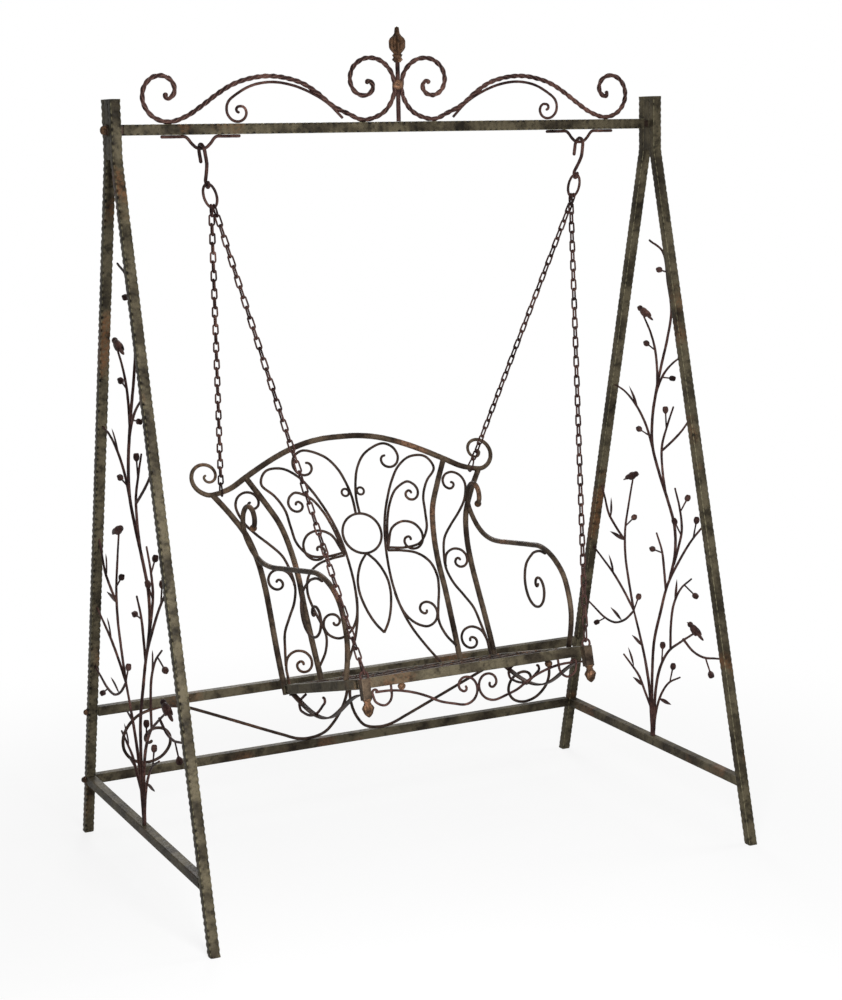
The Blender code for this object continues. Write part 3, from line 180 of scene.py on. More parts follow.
camera_data = bpy.data.cameras.new("camera")
camera_data.sensor_fit = "HORIZONTAL"
camera_data.sensor_width = 36
camera_data.lens = FOCAL_PX * camera_data.sensor_width / FRAME_WIDTH_PX
camera_data.shift_x = (FRAME_WIDTH_PX / 2 - CENTRE_PX[0]) / FRAME_WIDTH_PX
camera_data.shift_y = (CENTRE_PX[1] - FRAME_HEIGHT_PX / 2) / FRAME_WIDTH_PX
camera = bpy.data.objects.new("camera", camera_data)
bpy.context.scene.collection.objects.link(camera)
right, up, forward = camera_axes(*map(math.radians, (CAMERA_YAW, CAMERA_PITCH, CAMERA_ROLL)))
camera.matrix_world = Matrix.Translation(CAMERA_SPOT) @ Matrix((right, up, -forward)).transposed().to_4x4()
bpy.context.scene.camera = camera
shifts = camera_data.shift_x, camera_data.shift_y
print("lens", round(camera_data.lens, 2), "mm, shift", [round(shift, 4) for shift in shifts])

# %% [markdown]
# ## A small vocabulary for node trees
# Geometry and shader trees are built here in code. One helper adds a node and wires its inputs, and
# others do arithmetic, so that a tree reads almost like the sentence that describes it.

# %% Helpers that build node trees
def place(tree, kind, feeds=None, **settings):
    """Adds a node. A feed is a plain value, or the socket whose output feeds that input."""
    node = tree.nodes.new(kind)
    for key, value in settings.items():
        setattr(node, key, value)
    for key, value in (feeds or {}).items():
        socket = node.inputs[key]
        if isinstance(value, bpy.types.NodeSocket):
            tree.links.new(value, socket)
        else:
            socket.default_value = value
    return node


def out(tree, kind, feeds=None, **settings):
    """Adds a node and gives its first output."""
    return place(tree, kind, feeds, **settings).outputs[0]


def maths(operation, *values):
    """Arithmetic, in the tree that one of its values comes from."""
    tree = next(value.id_data for value in values if isinstance(value, bpy.types.NodeSocket))
    return out(tree, "ShaderNodeMath", dict(enumerate(values)), operation=operation)


def plus(one, other):
    return maths("ADD", one, other)


def minus(one, other):
    return maths("SUBTRACT", one, other)


def times(one, other):
    return maths("MULTIPLY", one, other)


def vector_maths(operation, *values, **feeds):
    tree = values[0].id_data
    return out(tree, "ShaderNodeVectorMath", {**dict(enumerate(values)), **feeds}, operation=operation)


def new_tree(name, inputs):
    """A geometry tree with named inputs; returns it, its group input and the sockets' identifiers."""
    tree = bpy.data.node_groups.new(name, "GeometryNodeTree")
    tree.interface.new_socket("Geometry", in_out="INPUT", socket_type="NodeSocketGeometry")
    known = {}
    for label, kind in inputs.items():
        socket = tree.interface.new_socket(label, in_out="INPUT", socket_type="NodeSocket" + kind)
        known[label] = socket.identifier
    tree.interface.new_socket("Geometry", in_out="OUTPUT", socket_type="NodeSocketGeometry")
    return tree, place(tree, "NodeGroupInput").outputs, known


def end_tree(tree, geometry, finish):
    """Realizes the instances, sets the finish and shades smooth, as each tree here ends."""
    real = out(tree, "GeometryNodeRealizeInstances", {"Geometry": geometry})
    smooth_skin = out(tree, "GeometryNodeSetShadeSmooth", {"Geometry": real})
    done = out(tree, "GeometryNodeSetMaterial", {"Geometry": smooth_skin, "Material": finish})
    place(tree, "NodeGroupOutput", {"Geometry": done})


def named(tree, name, kind="FLOAT"):
    return place(tree, "GeometryNodeInputNamedAttribute", {"Name": name}, data_type=kind).outputs["Attribute"]


def stored(tree, geometry, name, value):
    """Keeps a number on each point under a name."""
    return out(tree, "GeometryNodeStoreNamedAttribute", {"Geometry": geometry, "Name": name, "Value": value},
               data_type="FLOAT", domain="POINT")


def pushed(tree, geometry, lift):
    """Moves each point along its normal."""
    offset = vector_maths("SCALE", out(tree, "GeometryNodeInputNormal"), Scale=lift)
    return out(tree, "GeometryNodeSetPosition", {"Geometry": geometry, "Offset": offset})


def uneven(tree, scale, middle, depth):
    """Noise about its middle, as the hammer leaves a skin."""
    return times(minus(out(tree, "ShaderNodeTexNoise", {"Scale": scale, "Detail": 1.0}), middle), depth)


def settled(item):
    """Keeps what the modifiers make as the object's plain mesh, and takes them off."""
    mesh = bpy.data.meshes.new_from_object(item.evaluated_get(bpy.context.evaluated_depsgraph_get()))
    item.modifiers.clear()
    item.data = mesh
    return item


def run_tree(item, tree, known, **values):
    """Runs a tree on an object, with its inputs by name."""
    modifier = item.modifiers.new(tree.name, "NODES")
    modifier.node_group = tree
    for label, value in values.items():
        modifier[known[label.capitalize()]] = value
    return settled(item)


# %% Helpers that finish a mesh
def set_down(name, mesh, *finishes):
    """Puts a mesh in the scene as an object."""
    for finish in finishes:
        mesh.materials.append(finish)
    item = bpy.data.objects.new(name, mesh)
    bpy.context.scene.collection.objects.link(item)
    return item


def drawn(name, points, edges=(), **notes):
    """An object of bare points and edges, each point with its named numbers or directions."""
    mesh = bpy.data.meshes.new(name)
    mesh.from_pydata(points, edges, [])
    for label, values in notes.items():
        plain = len(values) == len(points)
        column = mesh.attributes.new(label, "FLOAT" if plain else "FLOAT_VECTOR", "POINT")
        column.data.foreach_set("value" if plain else "vector", values)
    return set_down(name, mesh)


def skinned(name, work, *finishes, crease=None):
    """Turns worked faces into an object. Edges that turn by more than the crease, in degrees, stay sharp."""
    mesh = bpy.data.meshes.new(name)
    work.to_mesh(mesh)
    work.free()
    if crease:
        mesh.polygons.foreach_set("use_smooth", [True] * len(mesh.polygons))
        mesh.set_sharp_from_angle(angle=math.radians(crease))
    return set_down(name, mesh, *finishes)


def loft(work, loops):
    """Joins each ring of corners to the next one with faces."""
    for lower, upper in zip(loops, loops[1:]):
        for index in range(len(lower)):
            after = (index + 1) % len(lower)
            work.faces.new((lower[index], lower[after], upper[after], upper[index]))


def melted(work, reach):
    """Makes one point of those that lie together, and turns all faces outwards."""
    bmesh.ops.remove_doubles(work, verts=work.verts, dist=reach)
    bmesh.ops.dissolve_degenerate(work, dist=reach, edges=work.edges)
    bmesh.ops.recalc_face_normals(work, faces=work.faces)


# %% [markdown]
# ## Finishes
# The iron is powder coated, then rubbed: olive brown on the tubes, a reddish near-black on the thin bars,
# and bare copper tones where a hand would polish it. One shader group makes the cloudy patches, the soot, a
# painted highlight and the hammered relief for every finish; each material feeds it its own colours. It reads
# Object coordinates, which suit iron, because a patina doesn't follow the shape of the bar that it grows on.
# Two numbers kept on the bars' points, notch and worn, say where the colour darkens in the dents
# and where an edge or corner gets a bright line that is partly rubbed wear and partly a painted highlight.

# %% The weathering and painted highlight shared by every iron finish
COLOURS = ("Main", "Second", "Rubbed", "Soot")
AMOUNTS = ("Rubbed share", "Patch scale", "Shift")


def weathering_and_highlight_group():
    group = bpy.data.node_groups.new("weathered iron with painted highlight", "ShaderNodeTree")
    for in_out, labels, kind in (("INPUT", COLOURS, "Color"), ("INPUT", AMOUNTS, "Float"),
                                 ("OUTPUT", ("Colour",), "Color"),
                                 ("OUTPUT", ("Roughness", "Relief"), "Float")):
        for label in labels:
            group.interface.new_socket(label, in_out=in_out, socket_type="NodeSocket" + kind)
    feed = place(group, "NodeGroupInput").outputs
    shift = out(group, "ShaderNodeCombineXYZ", {axis: feed["Shift"] for axis in "XYZ"})
    moved = vector_maths("ADD", place(group, "ShaderNodeTexCoord").outputs["Object"], shift)

    def noise(scale, detail, roughness=0.55):
        return out(group, "ShaderNodeTexNoise", {"Vector": moved, "Scale": scale, "Detail": detail,
                                                 "Roughness": roughness})

    def spread(value, low, high, top=1.0):
        return out(group, "ShaderNodeMapRange", {"Value": value, "From Min": low, "From Max": high,
                                                 "To Max": top})

    def blend(share, under, over):
        mix = place(group, "ShaderNodeMix", {0: share, 6: under, 7: over}, data_type="RGBA")
        return mix.outputs[2]

    def mark(label):
        return place(group, "ShaderNodeAttribute", attribute_name=label).outputs["Fac"]

    # Clouds of the second colour, then patches that a hand has rubbed.
    clouds = noise(times(feed["Patch scale"], 2.6), 4.0)
    patches = noise(feed["Patch scale"], 3.0)
    grain = noise(150.0, 3.0)
    colour = blend(spread(clouds, 0.44, 0.60), feed["Main"], feed["Second"])
    above = minus(patches, minus(0.72, times(feed["Rubbed share"], 0.34)))
    rubbed = times(spread(above, 0.0, 0.09), spread(grain, 0.3, 0.6))
    colour = blend(rubbed, colour, feed["Rubbed"])
    # Soot in fine pits and in smudges; the colour also darkens in the hammered notches.
    smudges = times(spread(noise(32.0, 4.0, 0.7), 0.48, 0.64), 0.72)
    pits = times(spread(noise(420.0, 2.0), 0.56, 0.68), 0.55)
    notch = mark("notch")
    dark = plus(maths("MAXIMUM", pits, smudges), times(notch, 0.95))
    colour = blend(maths("MINIMUM", dark, 1.0), colour, feed["Soot"])
    # Edges, and the corners of a twisted bar, get a bright line between the notches: partly rubbed wear, partly
    # a painted highlight that stands in for the light on them.
    worn_highlight_colour = vector_maths("MULTIPLY", feed["Main"], (2.3, 2.5, 2.4))
    worn_highlight_share = times(mark("worn"), maths("MAXIMUM", minus(1.0, times(notch, 1.4)), 0.0))
    colour = blend(times(worn_highlight_share, spread(grain, 0.30, 0.55, 0.8)), colour, worn_highlight_colour)
    rough = minus(plus(0.40, times(spread(grain, 0.3, 0.7), 0.22)), times(rubbed, 0.10))
    relief = plus(times(noise(60.0, 2.0), 0.8), times(grain, 0.35))
    place(group, "NodeGroupOutput", {"Colour": colour, "Roughness": rough, "Relief": relief})
    return group


WEATHERING_AND_HIGHLIGHT = weathering_and_highlight_group()
BUMP_STRENGTH = 0.55
DULL_SPECULAR = 0.06


# %% A finish made of that group
def iron_finish(name, colours, amounts, metallic, relief):
    material = bpy.data.materials.new(name)
    material.use_nodes = True
    tree = material.node_tree
    # The group gives the weathered colour, with a painted highlight on the edges and corners.
    worn = place(tree, "ShaderNodeGroup", node_tree=WEATHERING_AND_HIGHLIGHT)
    for label, value in (*zip(COLOURS, ((*colour, 1) for colour in colours)), *zip(AMOUNTS, amounts)):
        worn.inputs[label].default_value = value
    bump = out(tree, "ShaderNodeBump", {"Strength": BUMP_STRENGTH, "Distance": relief,
                                        "Height": worn.outputs["Relief"]})
    sockets = tree.nodes["Principled BSDF"].inputs
    for label, value in (("Base Color", worn.outputs["Colour"]), ("Roughness", worn.outputs["Roughness"]),
                         ("Normal", bump)):
        tree.links.new(value, sockets[label])
    sockets["Metallic"].default_value = metallic
    sockets["Specular IOR Level"].default_value = DULL_SPECULAR
    return material


OLIVE_IRON = iron_finish(
    "olive_hammered_iron", ((0.120, 0.101, 0.064), (0.045, 0.037, 0.024), (0.16, 0.080, 0.038),
                            (0.006, 0.005, 0.004)), (0.40, 5.0, 0.0), 0.03, 0.0009)
SMOOTH_IRON = iron_finish(
    "olive_smooth_iron", ((0.118, 0.100, 0.065), (0.042, 0.034, 0.023), (0.17, 0.088, 0.048),
                          (0.007, 0.005, 0.004)), (0.46, 4.2, 3.1), 0.03, 0.0006)
RED_IRON = iron_finish(
    "reddish_dark_iron", ((0.086, 0.044, 0.037), (0.028, 0.014, 0.013), (0.20, 0.100, 0.078),
                          (0.005, 0.003, 0.003)), (0.44, 9.0, 7.7), 0.06, 0.0005)
BROWN_IRON = iron_finish(
    "brown_black_iron", ((0.068, 0.043, 0.033), (0.024, 0.016, 0.012), (0.17, 0.090, 0.058),
                         (0.005, 0.003, 0.003)), (0.42, 8.0, 12.3), 0.06, 0.0005)
BURNISHED_IRON = iron_finish(
    "burnished_brown_iron", ((0.112, 0.080, 0.054), (0.032, 0.022, 0.016), (0.24, 0.130, 0.078),
                             (0.006, 0.004, 0.003)), (0.46, 6.0, 17.9), 0.12, 0.0004)
COPPER = iron_finish(
    "copper_patina", ((0.130, 0.072, 0.040), (0.042, 0.025, 0.016), (0.34, 0.180, 0.105),
                      (0.006, 0.004, 0.003)), (0.50, 26.0, 23.5), 0.15, 0.0006)
IRONS = (OLIVE_IRON, SMOOTH_IRON, RED_IRON, BROWN_IRON, BURNISHED_IRON, COPPER)
print("finishes", [finish.name for finish in IRONS])

# %% [markdown]
# ## Lines that a smith would draw
# Every bar starts as a line: a few points on the full-size drawing, joined by a smooth curve and wound into
# a curl at its end. A Catmull-Rom curve goes through its points, so a drawn point is a place on the bar.

# %% Curves through drawn points
def smooth(points, count):
    """A Catmull-Rom curve through the points, read at equal steps along it."""
    knots = [Vector(point) for point in points]
    knots = [knots[0] * 2 - knots[1]] + knots + [knots[-1] * 2 - knots[-2]]
    fine = []
    for i in range(1, len(knots) - 2):
        before, start, end, after = knots[i - 1:i + 3]
        for step in range(16):
            t = step / 16
            fine.append(0.5 * (2 * start + (end - before) * t
                               + (2 * before - 5 * start + 4 * end - after) * t * t
                               + (3 * start - before - 3 * end + after) * t ** 3))
    fine.append(knots[-2])
    return resample(fine, count)


def resample(points, count):
    lengths = [0.0]
    for first, second in zip(points, points[1:]):
        lengths.append(lengths[-1] + (second - first).length)
    result = []
    index = 0
    for step in range(count):
        target = lengths[-1] * step / (count - 1)
        while index < len(points) - 2 and lengths[index + 1] < target:
            index += 1
        share = (target - lengths[index]) / (lengths[index + 1] - lengths[index])
        result.append(points[index].lerp(points[index + 1], min(max(share, 0.0), 1.0)))
    return result


def path_length(points):
    return sum((second - first).length for first, second in zip(points, points[1:]))


def curl(path, sweep, first, last, steps, heading=None):
    """Winds the path's end inwards: sweep in degrees, left turns positive, radius first to last."""
    if heading is None:
        heading = math.degrees(math.atan2(*reversed(path[-1] - path[-2])))
    points = list(path)
    step = sweep / steps
    for index in range(steps):
        radius = first + (last - first) * (index + 0.5) / steps
        middle = math.radians(heading + step * (index + 0.5))
        chord = 2 * radius * math.sin(math.radians(abs(step)) / 2)
        points.append(points[-1] + chord * Vector((math.cos(middle), math.sin(middle))))
    return points


TIP_ROLL = 0.0085
LEFT_HAND, RIGHT_HAND = 1, -1


def rolled(path, hand, sweep=170):
    """Rolls the very end of a curl into a tight hook, as a smith starts each scroll."""
    return curl(path, hand * sweep, TIP_ROLL, TIP_ROLL * 0.7, 6)


def shares(table, across, tall):
    """Given shares of a width and a height, as lengths."""
    return [Vector((x * across, y * tall)) for x, y in table]


def circle(centre, radius, start=0, end=360, steps=36):
    turn = (end - start) / steps
    angles = [math.radians(start + turn * index) for index in range(steps + (end - start < 360))]
    return [Vector(centre) + radius * Vector((math.cos(angle), math.sin(angle))) for angle in angles]


def across_x(points, y=0.0):
    """Drawn in the plane that faces the front: x and z."""
    return [Vector((point[0], y, point[1])) for point in points]


def along_y(points, x=0.0):
    """Drawn in the plane of a side: y and z."""
    return [Vector((x, point[0], point[1])) for point in points]


def set_in(points, matrix):
    return [matrix @ Vector(point) for point in points]


# %% [markdown]
# ## Strokes: lines with a thickness
# A stroke is a line, its thickness at each point, and whether it closes. A free end is drawn out to a
# rounded tip, as on a hammered bar. All strokes of one piece go into one bare mesh of edges, because one
# node tree can then turn them all into bars at once.

# %% Build strokes and the bare mesh that holds them
STEP = 0.003


def stroke(points, thickness, closed=False, tips="", step=STEP, drawn_out=1.0, taper=0.5):
    """A bar's line. tips is "start", "end" or "both", drawn_out the thickness there as a share, and taper
    the share of the line over which the bar is drawn out."""
    if not closed:
        points = smooth(points, max(int(path_length(points) / step), 3))
    count = len(points)
    thick = []
    for index in range(count):
        away = min([1.0, 1 - index / count] + ([index / count] if tips in ("start", "both") else []))
        thick.append(thickness * (1 + (drawn_out - 1) * max(0.0, 1 - away / taper)))
    for end, last, inward in (("start", 0, 1), ("end", -1, -1)):
        if tips in (end, "both"):
            points, thick = rounded_tip(points, thick, last, inward)
    return {"points": points, "thick": thick, "closed": closed}


def rounded_tip(points, thick, last, inward):
    """Puts three narrowing rings at an end, like the edge of a half ball."""
    tip = points[last]
    radius = thick[last] / 2
    away = (points[last + inward] - tip).normalized() * -radius
    extra = [(tip + away * share, 2 * radius * math.sqrt(max(1 - share * share, 0.03)))
             for share in (0.45, 0.78, 0.97)]
    spots = [spot for spot, size in extra]
    sizes = [size for spot, size in extra]
    if last == 0:
        return list(reversed(spots)) + points, list(reversed(sizes)) + thick
    return points + spots, thick + sizes


def mirrored(item):
    """The same stroke for the other hand."""
    points = [Vector((-point.x, point.y, point.z)) for point in item["points"]]
    return {**item, "points": points}


def placed(item, matrix):
    return {**item, "points": set_in(item["points"], matrix)}


def line_object(name, strokes):
    points, thick, edges = [], [], []
    for item in strokes:
        start = len(points)
        points += item["points"]
        thick += item["thick"]
        edges += [(index, index + 1) for index in range(start, len(points) - 1)]
        if item["closed"]:
            edges.append((len(points) - 1, start))
    return drawn(name, points, edges, thick=thick)


# %% [markdown]
# ## The forged bar tree
# The tree sweeps a section along each line. Squareness bends a circle towards a square with soft corners,
# so the same tree makes round wire and the square bar that is twisted like a rope. Twist turns the
# section as it goes, and a little noise along the normal leaves the skin hammered rather than drawn.

# %% Build the forged bar tree
CORNER_REACH = 1.2
BAR_DENTS = 90.0


def forged_bar_tree():
    tree, feed, known = new_tree("forged bar", {
        "Sides": "Int", "Squareness": "Float", "Twist": "Float", "Hammering": "Float", "Finish": "Material"})
    line = out(tree, "GeometryNodeMeshToCurve", {"Mesh": feed["Geometry"]})
    run = place(tree, "GeometryNodeSplineParameter").outputs["Length"]
    turns = times(run, times(feed["Twist"], math.tau))
    line = out(tree, "GeometryNodeSetCurveTilt", {"Curve": line, "Tilt": turns})
    ring = out(tree, "GeometryNodeCurvePrimitiveCircle", {"Resolution": feed["Sides"], "Radius": 0.5})
    spot = out(tree, "GeometryNodeInputPosition")
    axes = place(tree, "ShaderNodeSeparateXYZ", {0: vector_maths("NORMALIZE", spot)}).outputs
    powers = [maths("POWER", maths("ABSOLUTE", axes[index]), feed["Squareness"]) for index in (0, 1)]
    reach = maths("POWER", plus(*powers), maths("DIVIDE", -1.0, feed["Squareness"]))
    section = out(tree, "GeometryNodeSetPosition", {"Geometry": ring,
                                                    "Position": vector_maths("SCALE", spot, Scale=reach)})
    # The corners of a squared section are marked for a painted highlight. It stands in for the light on the
    # bulges of the twisted rope.
    section = stored(tree, section, "worn", maths("GREATER_THAN", reach, CORNER_REACH))
    bar = out(tree, "GeometryNodeCurveToMesh", {
        "Curve": line, "Profile Curve": section, "Scale": named(tree, "thick"), "Fill Caps": True})
    end_tree(tree, pushed(tree, bar, uneven(tree, BAR_DENTS, 0.5, feed["Hammering"])), feed["Finish"])
    return tree, known


FORGED_BAR = forged_bar_tree()


def hang(item, body, slot, *nodes):
    """Says which body a finished piece moves with, and which CAD nodes it stands for."""
    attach(item, body)
    if nodes:
        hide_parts(*nodes)
    return item


def forge(name, strokes, finish, sides=12, squareness=2.0, twist=0.0, hammering=0.0008):
    return run_tree(line_object(name, strokes), *FORGED_BAR, sides=sides, squareness=squareness, twist=twist,
                    hammering=hammering, finish=finish)


def forge_pair(name, strokes, finish, body, slot, node, spot=Matrix(), sides=12):
    """A piece for each hand, from strokes drawn for the right hand."""
    for side_name, side in SIDES.items():
        bars = [placed(item if side == RIGHT else mirrored(item), spot) for item in strokes]
        hang(forge(f"{name}_{side_name}", bars, finish, sides), body, slot, f"{node}_{side_name}")


# %% [markdown]
# ## Notched square tube
# The legs and the beam are square tube whose edges were struck with a hammer about every 16 mm. The dents
# are real geometry here, because they show in the outline. A second tree walks along the tube, finds where
# it is within each step, and pulls the edge in there. It keeps that depth as an attribute named notch, so
# that the finish can gather dark colour in each dent. The edge is marked as worn, and between two
# dents it gets a bright line that is partly rubbed wear and partly a painted highlight.

# %% Build the notched tube tree
NOTCH_PITCH = 0.0164
NOTCH_DEPTH = 0.0024
NOTCH_STEP = 0.00205
NOTCH_HALF = 0.32
LEAST_NOTCH = 0.35
EDGE_OFFSET = 0.37
EDGE_SEEDS = 9000.0
TUBE_DENTS = 55.0


def notched_tube_tree():
    tree, feed, known = new_tree("notched tube", {
        "Section": "Object", "Step": "Float", "Pitch": "Float", "Depth": "Float", "Share": "Float",
        "Hammering": "Float", "Seed": "Int", "Finish": "Material"})
    line = out(tree, "GeometryNodeMeshToCurve", {"Mesh": feed["Geometry"]})
    line = out(tree, "GeometryNodeResampleCurve", {"Curve": line, "Length": feed["Step"]}, mode="LENGTH")
    line = stored(tree, line, "run", place(tree, "GeometryNodeSplineParameter").outputs["Length"])
    shape = place(tree, "GeometryNodeObjectInfo", {"Object": feed["Section"]}).outputs["Geometry"]
    section = out(tree, "GeometryNodeMeshToCurve", {"Mesh": shape})
    tube = out(tree, "GeometryNodeCurveToMesh", {"Curve": line, "Profile Curve": section, "Fill Caps": True})
    edge, corner = named(tree, "edge"), named(tree, "corner")
    moved = plus(maths("DIVIDE", named(tree, "run"), feed["Pitch"]), times(edge, EDGE_OFFSET))
    number = place(tree, "FunctionNodeRandomValue", {
        "Min": LEAST_NOTCH, "Max": 1.0, "ID": plus(maths("FLOOR", moved), times(edge, EDGE_SEEDS)),
        "Seed": feed["Seed"]}, data_type="FLOAT").outputs["Value"]
    across = maths("ABSOLUTE", minus(maths("FRACT", moved), 0.5))
    bowl = maths("MAXIMUM", minus(1.0, maths("POWER", maths("DIVIDE", across, NOTCH_HALF), 2.0)), 0.0)
    notch = times(times(bowl, number), times(corner, feed["Share"]))
    # The rounded tube edges are marked for a bright line that is partly rubbed wear and partly a painted
    # highlight.
    tube = stored(tree, tube, "worn", maths("GREATER_THAN", corner, 0.9))
    tube = stored(tree, tube, "notch", notch)
    lift = minus(uneven(tree, TUBE_DENTS, 0.55, feed["Hammering"]), times(named(tree, "notch"), feed["Depth"]))
    end_tree(tree, pushed(tree, tube, lift), feed["Finish"])
    return tree, known


NOTCHED_TUBE = notched_tube_tree()

# %% The tube's section
CORNER_ROUND = 0.0022
NOTCH_REACH = 0.0062
QUARTERS = ((1, 1), (-1, 1), (-1, -1), (1, -1))


def tube_section(name, wide, tall):
    """A closed square line with soft corners; corner says how far a point gives way to the hammer."""
    points, corner, edge = [], [], []
    for quarter, (sx, sy) in enumerate(QUARTERS):
        centre = Vector((sx * (wide / 2 - CORNER_ROUND), sy * (tall / 2 - CORNER_ROUND)))
        near = Vector((sx * (wide / 2 - NOTCH_REACH), sy * (tall / 2 - NOTCH_REACH)))
        arc = [centre + CORNER_ROUND * Vector((math.cos(a), math.sin(a)))
               for a in (math.radians(90 * quarter + 45 * step) for step in range(3))]
        ends = [Vector((sx * wide / 2, near.y)), Vector((near.x, sy * tall / 2))]
        before, after = ends if quarter % 2 == 0 else reversed(ends)
        points += [before, *arc, after]
        corner += [0.12, 0.8, 1.0, 0.8, 0.12]
        edge += [quarter + 1.0] * 5
    count = len(points)
    return drawn(name, [(x, y, 0) for x, y in points], [(i, (i + 1) % count) for i in range(count)],
                 corner=corner, edge=edge)


def notched(name, points, section, seed, finish, share=1.0):
    line = line_object(name, [{"points": points, "thick": [TUBE] * len(points), "closed": False}])
    return run_tree(line, *NOTCHED_TUBE, section=section, step=NOTCH_STEP, pitch=NOTCH_PITCH,
                    depth=NOTCH_DEPTH, share=share, hammering=0.0006, seed=seed, finish=finish)


# %% Mesh helpers: trim with a plane, join objects
def trim(item, spot, normal):
    """Saws a piece off at a plane, keeps what is behind the normal, and closes the cut."""
    work = bmesh.new()
    work.from_mesh(item.data)
    bmesh.ops.bisect_plane(work, geom=work.verts[:] + work.edges[:] + work.faces[:], plane_co=spot,
                           plane_no=normal, clear_outer=True)
    bmesh.ops.holes_fill(work, edges=[edge for edge in work.edges if edge.is_boundary])
    work.to_mesh(item.data)
    work.free()
    return item


def join(name, items):
    """One mesh from several, each keeping its own finish."""
    finishes, work = [], bmesh.new()
    for item in items:
        mesh = item.data
        finishes += [material for material in mesh.materials if material not in finishes]
        slots = [finishes.index(material) for material in mesh.materials]
        for polygon in mesh.polygons:
            polygon.material_index = slots[polygon.material_index]
        work.from_mesh(mesh)
    for item in items:
        bpy.data.objects.remove(item, do_unlink=True)
    return skinned(name, work, *finishes)


# %% [markdown]
# ## The side frames
# Each side frame is two legs that lean together and meet at a spacer block. The line of a leg runs below
# the ground first and is then sawn off level, because a tube that leans has a slanted end by itself.

# %% Legs
def leg_middle(height):
    """Distance of a leg's middle from the frame's centre plane."""
    foot = (FOOT_DEPTH - TUBE) / 2
    head = (HEAD_DEPTH - TUBE) / 2
    return foot + (head - foot) * min(height / BEND_HEIGHT, 1.0)


# The hammering reads softer on the right legs. Each bar has its own seed, so no two are dented alike.
RIGHT_NOTCH_SHARE = 0.5
LEG_SEED = 11
BEAM_SEED = 5
SQUARE_TUBE = tube_section("square_tube", TUBE, TUBE)
for side_name, side in SIDES.items():
    for end_name, end in (("front", -1), ("rear", 1)):
        line = [Vector((side * FRAME_SPACING / 2, end * leg_middle(z), z))
                for z in (-TUBE, BEND_HEIGHT, POST_TOP)]
        seed = LEG_SEED + side + 3 * end
        leg = notched(f"leg_{end_name}_{side_name}_hammered", line, SQUARE_TUBE, seed, OLIVE_IRON,
                      1.0 if side == LEFT else RIGHT_NOTCH_SHARE)
        trim(leg, (0, 0, 0), (0, 0, -1))
        hang(leg, "frame", "brown_iron", f"leg_{end_name}_{side_name}")

# %% [markdown]
# ## The beam
# The beam is the same tube, with a smaller square spigot at each end that goes into the side frame's
# socket and is pulled tight by a bolt.

# %% Beam with its spigots
def soft_block(name, size, centre, finish, edge=0.001):
    work = bmesh.new()
    bmesh.ops.create_cube(work, size=1.0)
    bmesh.ops.scale(work, vec=size, verts=work.verts)
    bmesh.ops.bevel(work, geom=work.edges[:], offset=edge, segments=2, profile=0.6, affect="EDGES")
    bmesh.ops.translate(work, vec=centre, verts=work.verts)
    return skinned(name, work, finish)


beam_middle = BEAM_TOP - BEAM_TALL / 2
inner_face = FRAME_SPACING / 2 - TUBE / 2
half_beam = inner_face - SHOULDER_SPACE
beam_section = tube_section("beam_section", TUBE, BEAM_TALL)
beam_line = [Vector((x, 0, beam_middle)) for x in (-half_beam, half_beam)]
beam = notched("beam_tube", beam_line, beam_section, BEAM_SEED, OLIVE_IRON)
spigots = [soft_block("spigot", (SPIGOT_LENGTH, SPIGOT, SPIGOT),
                      (side * (half_beam + SPIGOT_LENGTH / 2), 0, beam_middle), BROWN_IRON)
           for side in SIDES.values()]
hang(join("top_beam_hammered", [beam, *spigots]), "frame", "brown_iron", "top_beam")
print("beam", round(2 * half_beam, 3), "m between its shoulders")

# %% [markdown]
# ## Turned and fluted pieces
# Nuts, finials, drops and the bud points are turned pieces: a profile goes round an axis. Flutes are cut
# by letting the radius swell and shrink round the axis, and a twist winds them like a flame. The profile is
# rows of radius, height and how deep the flutes, or the six flats of a nut, are there.

# %% One maker for turned, fluted and six-sided shapes
def turned(name, profile, finish, matrix=Matrix(), sides=32, flutes=0, depth=0.0, twist=0.0, per_span=4,
           six=False):
    rows = []
    for above, below in zip(profile, profile[1:]):
        rows += [tuple(a + (b - a) * step / per_span for a, b in zip(above, below)) for step in range(per_span)]
    rows.append(profile[-1])
    work = bmesh.new()
    loops = []
    for radius, height, share in rows:
        loop = []
        for index in range(sides):
            angle = math.tau * index / sides
            reach = radius
            if flutes:
                swell = abs(math.sin((flutes * angle + twist * height) / 2))
                reach = radius * (1 - depth * share * (1 - swell ** 0.7))
            elif six and share > 0:
                inside = (math.degrees(angle) + 30) % 60 - 30
                reach = radius * (1 - share + share * math.cos(math.pi / 6) / math.cos(math.radians(inside)))
            loop.append(work.verts.new((reach * math.cos(angle), reach * math.sin(angle), height)))
        loops.append(loop)
    loft(work, loops)
    melted(work, 1e-6)
    bmesh.ops.transform(work, matrix=matrix, verts=work.verts)
    return skinned(name, work, finish, crease=48)


def sized(rows, across, tall, low=0.0):
    """Given shares of a width and a height as a profile that starts at a height."""
    return [(across * radius, low + tall * height, share) for radius, height, share in rows]


def eased(rows, count):
    """A smooth profile between its first and last rows, which close the ends."""
    middle = [(max(x, 0.0), y, min(max(z, 0.0), 1.0)) for x, y, z in smooth(rows[1:-1], count)]
    return [rows[0], *middle, rows[-1]]


# %% [markdown]
# ## Nuts
# A domed cap nut on a washer closes each bolt. Six flats below, a dome above: the profile's third number
# says how six-sided the nut is at each height.

# %% Domed nuts on their washers
WASHER_ROWS = ((0, 0, 0), (0.56, 0, 0), (0.56, 1, 0), (0, 1, 0))
NUT_ROWS = ((0, 0, 1), (0.48, 0, 1), (0.5, 0.03, 1), (0.5, 0.22, 1), (0.46, 0.27, 0.5), (0.40, 0.30, 0),
            (0.36, 0.40, 0), (0.22, 0.49, 0), (0, 0.52, 0))


